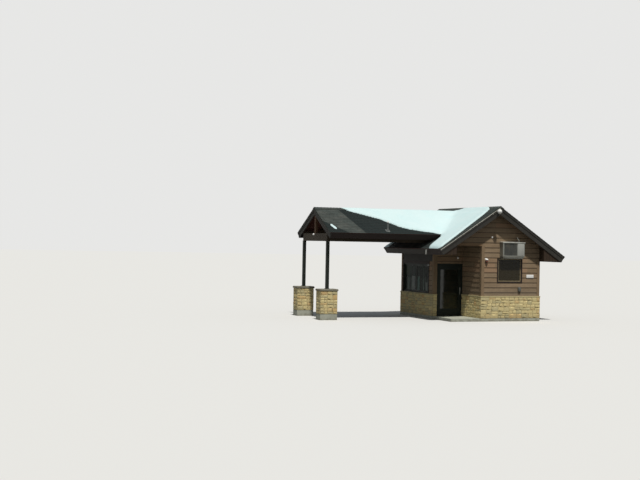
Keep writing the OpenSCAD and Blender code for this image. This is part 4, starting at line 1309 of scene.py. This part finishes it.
class BOOTH_OT_fixtures(bpy.types.Operator):
    """Adds the cooler's plain panel and screws, the lamp's lens, a blank plate and a socket box."""

    bl_idname = "booth.fixtures"
    bl_label = "Fixtures"

    def execute(self, context):
        foot, right = COOLER[0].z, COOLER[1].x - 0.05
        back = COOLER[0].y + 0.022
        face = back - 0.012
        panel = block("cooler_panel", (right - 0.30, face, foot + 0.12), (right, back, foot + 0.62))
        hand_over(ease(panel, 0.008), "panel_sheet")
        screws = [ease(rod("screw", (x, face, z), (x, face - 0.004, z), 0.007, 12), 0.0015, 1)
                  for x in (right - 0.28, right - 0.02) for z in (foot + 0.14, foot + 0.60)]
        hand_over(joined("cooler_screws", screws), "bright_metal")
        x, y, z = LAMP_LENS
        lens = rod("wall_lamp_lens", (x, y, z - 0.012), (x, y, z + 0.075), 0.048, 32)
        pick(lens, "FACE", lambda f: f.normal.z < -0.9)
        bpy.ops.mesh.inset(thickness=0.012)
        bpy.ops.mesh.extrude_region_move(TRANSFORM_OT_translate={"value": (0, 0, -0.018)})
        close_edit()
        hand_over(ease(lens, 0.004), "lamp_lens")
        plate = [ease(block("plate", *PLATE), 0.002), block("plate_back", *PLATE_BACK)]
        hand_over(joined("blank_plate", plate), "opal_white")
        box = [ease(block("box", *SOCKET_BOX), 0.006), ease(block("lid", *SOCKET_LID), 0.004)]
        hand_over(joined("socket_box", box), "box_enamel")
        return {"FINISHED"}


class BOOTH_OT_stage(bpy.types.Operator):
    """Sets the pale floor, the light and the camera."""

    bl_idname = "booth.stage"
    bl_label = "Stage"

    def execute(self, context):
        scene = context.scene
        deselect()
        bpy.ops.mesh.primitive_circle_add(vertices=96, radius=260, fill_type="NGON", location=(0, 0, -0.001))
        floor = context.object
        floor.name = "floor"
        finish = Finish("floor", colours().ground, 0.95, Specular_IOR_Level=0.0)
        finish.cover(colours().floor, finish.as_seen())
        finish.done()
        dress(floor, "floor")

        world = bpy.data.worlds.new("studio")
        scene.world = world
        world.use_nodes = True
        world.node_tree.nodes.clear()
        sky = Nodes(world.node_tree)
        soft = sky.node("Background", {"Color": (0.84, 0.92, 1.0, 1), "Strength": SOFT_LIGHT})
        pale = sky.node("Background", {"Color": (0.80, 0.80, 0.79, 1), "Strength": 1.0})
        mix = sky.node("MixShader", {0: sky.as_seen(), 1: soft.outputs[0], 2: pale.outputs[0]})
        sky.node("OutputWorld", {"Surface": mix.outputs[0]})

        sun = bpy.data.lights.new("sun", "SUN")
        sun.energy = SUN_ENERGY
        sun.angle = math.radians(2.5)
        sun.color = (1.0, 0.97, 0.92)
        lamp = bpy.data.objects.new("sun", sun)
        lamp.rotation_mode = "QUATERNION"
        lamp.rotation_quaternion = SUN_DIRECTION.to_track_quat("-Z", "Y")
        scene.collection.objects.link(lamp)

        data = bpy.data.cameras.new("camera")
        data.sensor_width = 36
        data.lens = CAMERA_LENS
        data.clip_end = 1000
        camera = bpy.data.objects.new("camera", data)
        camera.matrix_world = Matrix.Translation(CAMERA_PLACE)
        for angle, axis in ((-CAMERA_TURN, "Z"), (90 + CAMERA_TILT, "X"), (CAMERA_ROLL, "Z")):
            camera.matrix_world = camera.matrix_world @ Matrix.Rotation(math.radians(angle), 4, axis)
        scene.collection.objects.link(camera)
        scene.camera = camera
        scene.view_settings.view_transform = "Standard"
        return {"FINISHED"}


class BOOTH_PT_panel(bpy.types.Panel):
    """Sizes, colours and steps of the guard booth."""

    bl_label = "Guard Booth"
    bl_idname = "BOOTH_PT_panel"
    bl_space_type = "VIEW_3D"
    bl_region_type = "UI"
    bl_category = "Booth"

    def draw(self, context):
        column = self.layout.column()
        for group in (sizes(), colours()):
            for name in group.__annotations__:
                column.prop(group, name)
        for step in STEPS:
            column.operator(step.bl_idname)


STEPS = (
    BOOTH_OT_finishes, BOOTH_OT_siding, BOOTH_OT_stonework, BOOTH_OT_shingles, BOOTH_OT_snow,
    BOOTH_OT_edges, BOOTH_OT_glazing, BOOTH_OT_fixtures, BOOTH_OT_stage,
)
CLASSES = (BoothSizes, BoothColours, *STEPS, BOOTH_PT_panel)


def register():
    for cls in CLASSES:
        bpy.utils.register_class(cls)
    bpy.types.Scene.booth_sizes = bpy.props.PointerProperty(type=BoothSizes)
    bpy.types.Scene.booth_colours = bpy.props.PointerProperty(type=BoothColours)


def unregister():
    del bpy.types.Scene.booth_sizes
    del bpy.types.Scene.booth_colours
    for cls in reversed(CLASSES):
        bpy.utils.unregister_class(cls)


def main():
    register()
    for step in STEPS:
        module, name = step.bl_idname.split(".")
        getattr(getattr(bpy.ops, module), name)()
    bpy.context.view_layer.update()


if __name__ == "__main__":
    main()
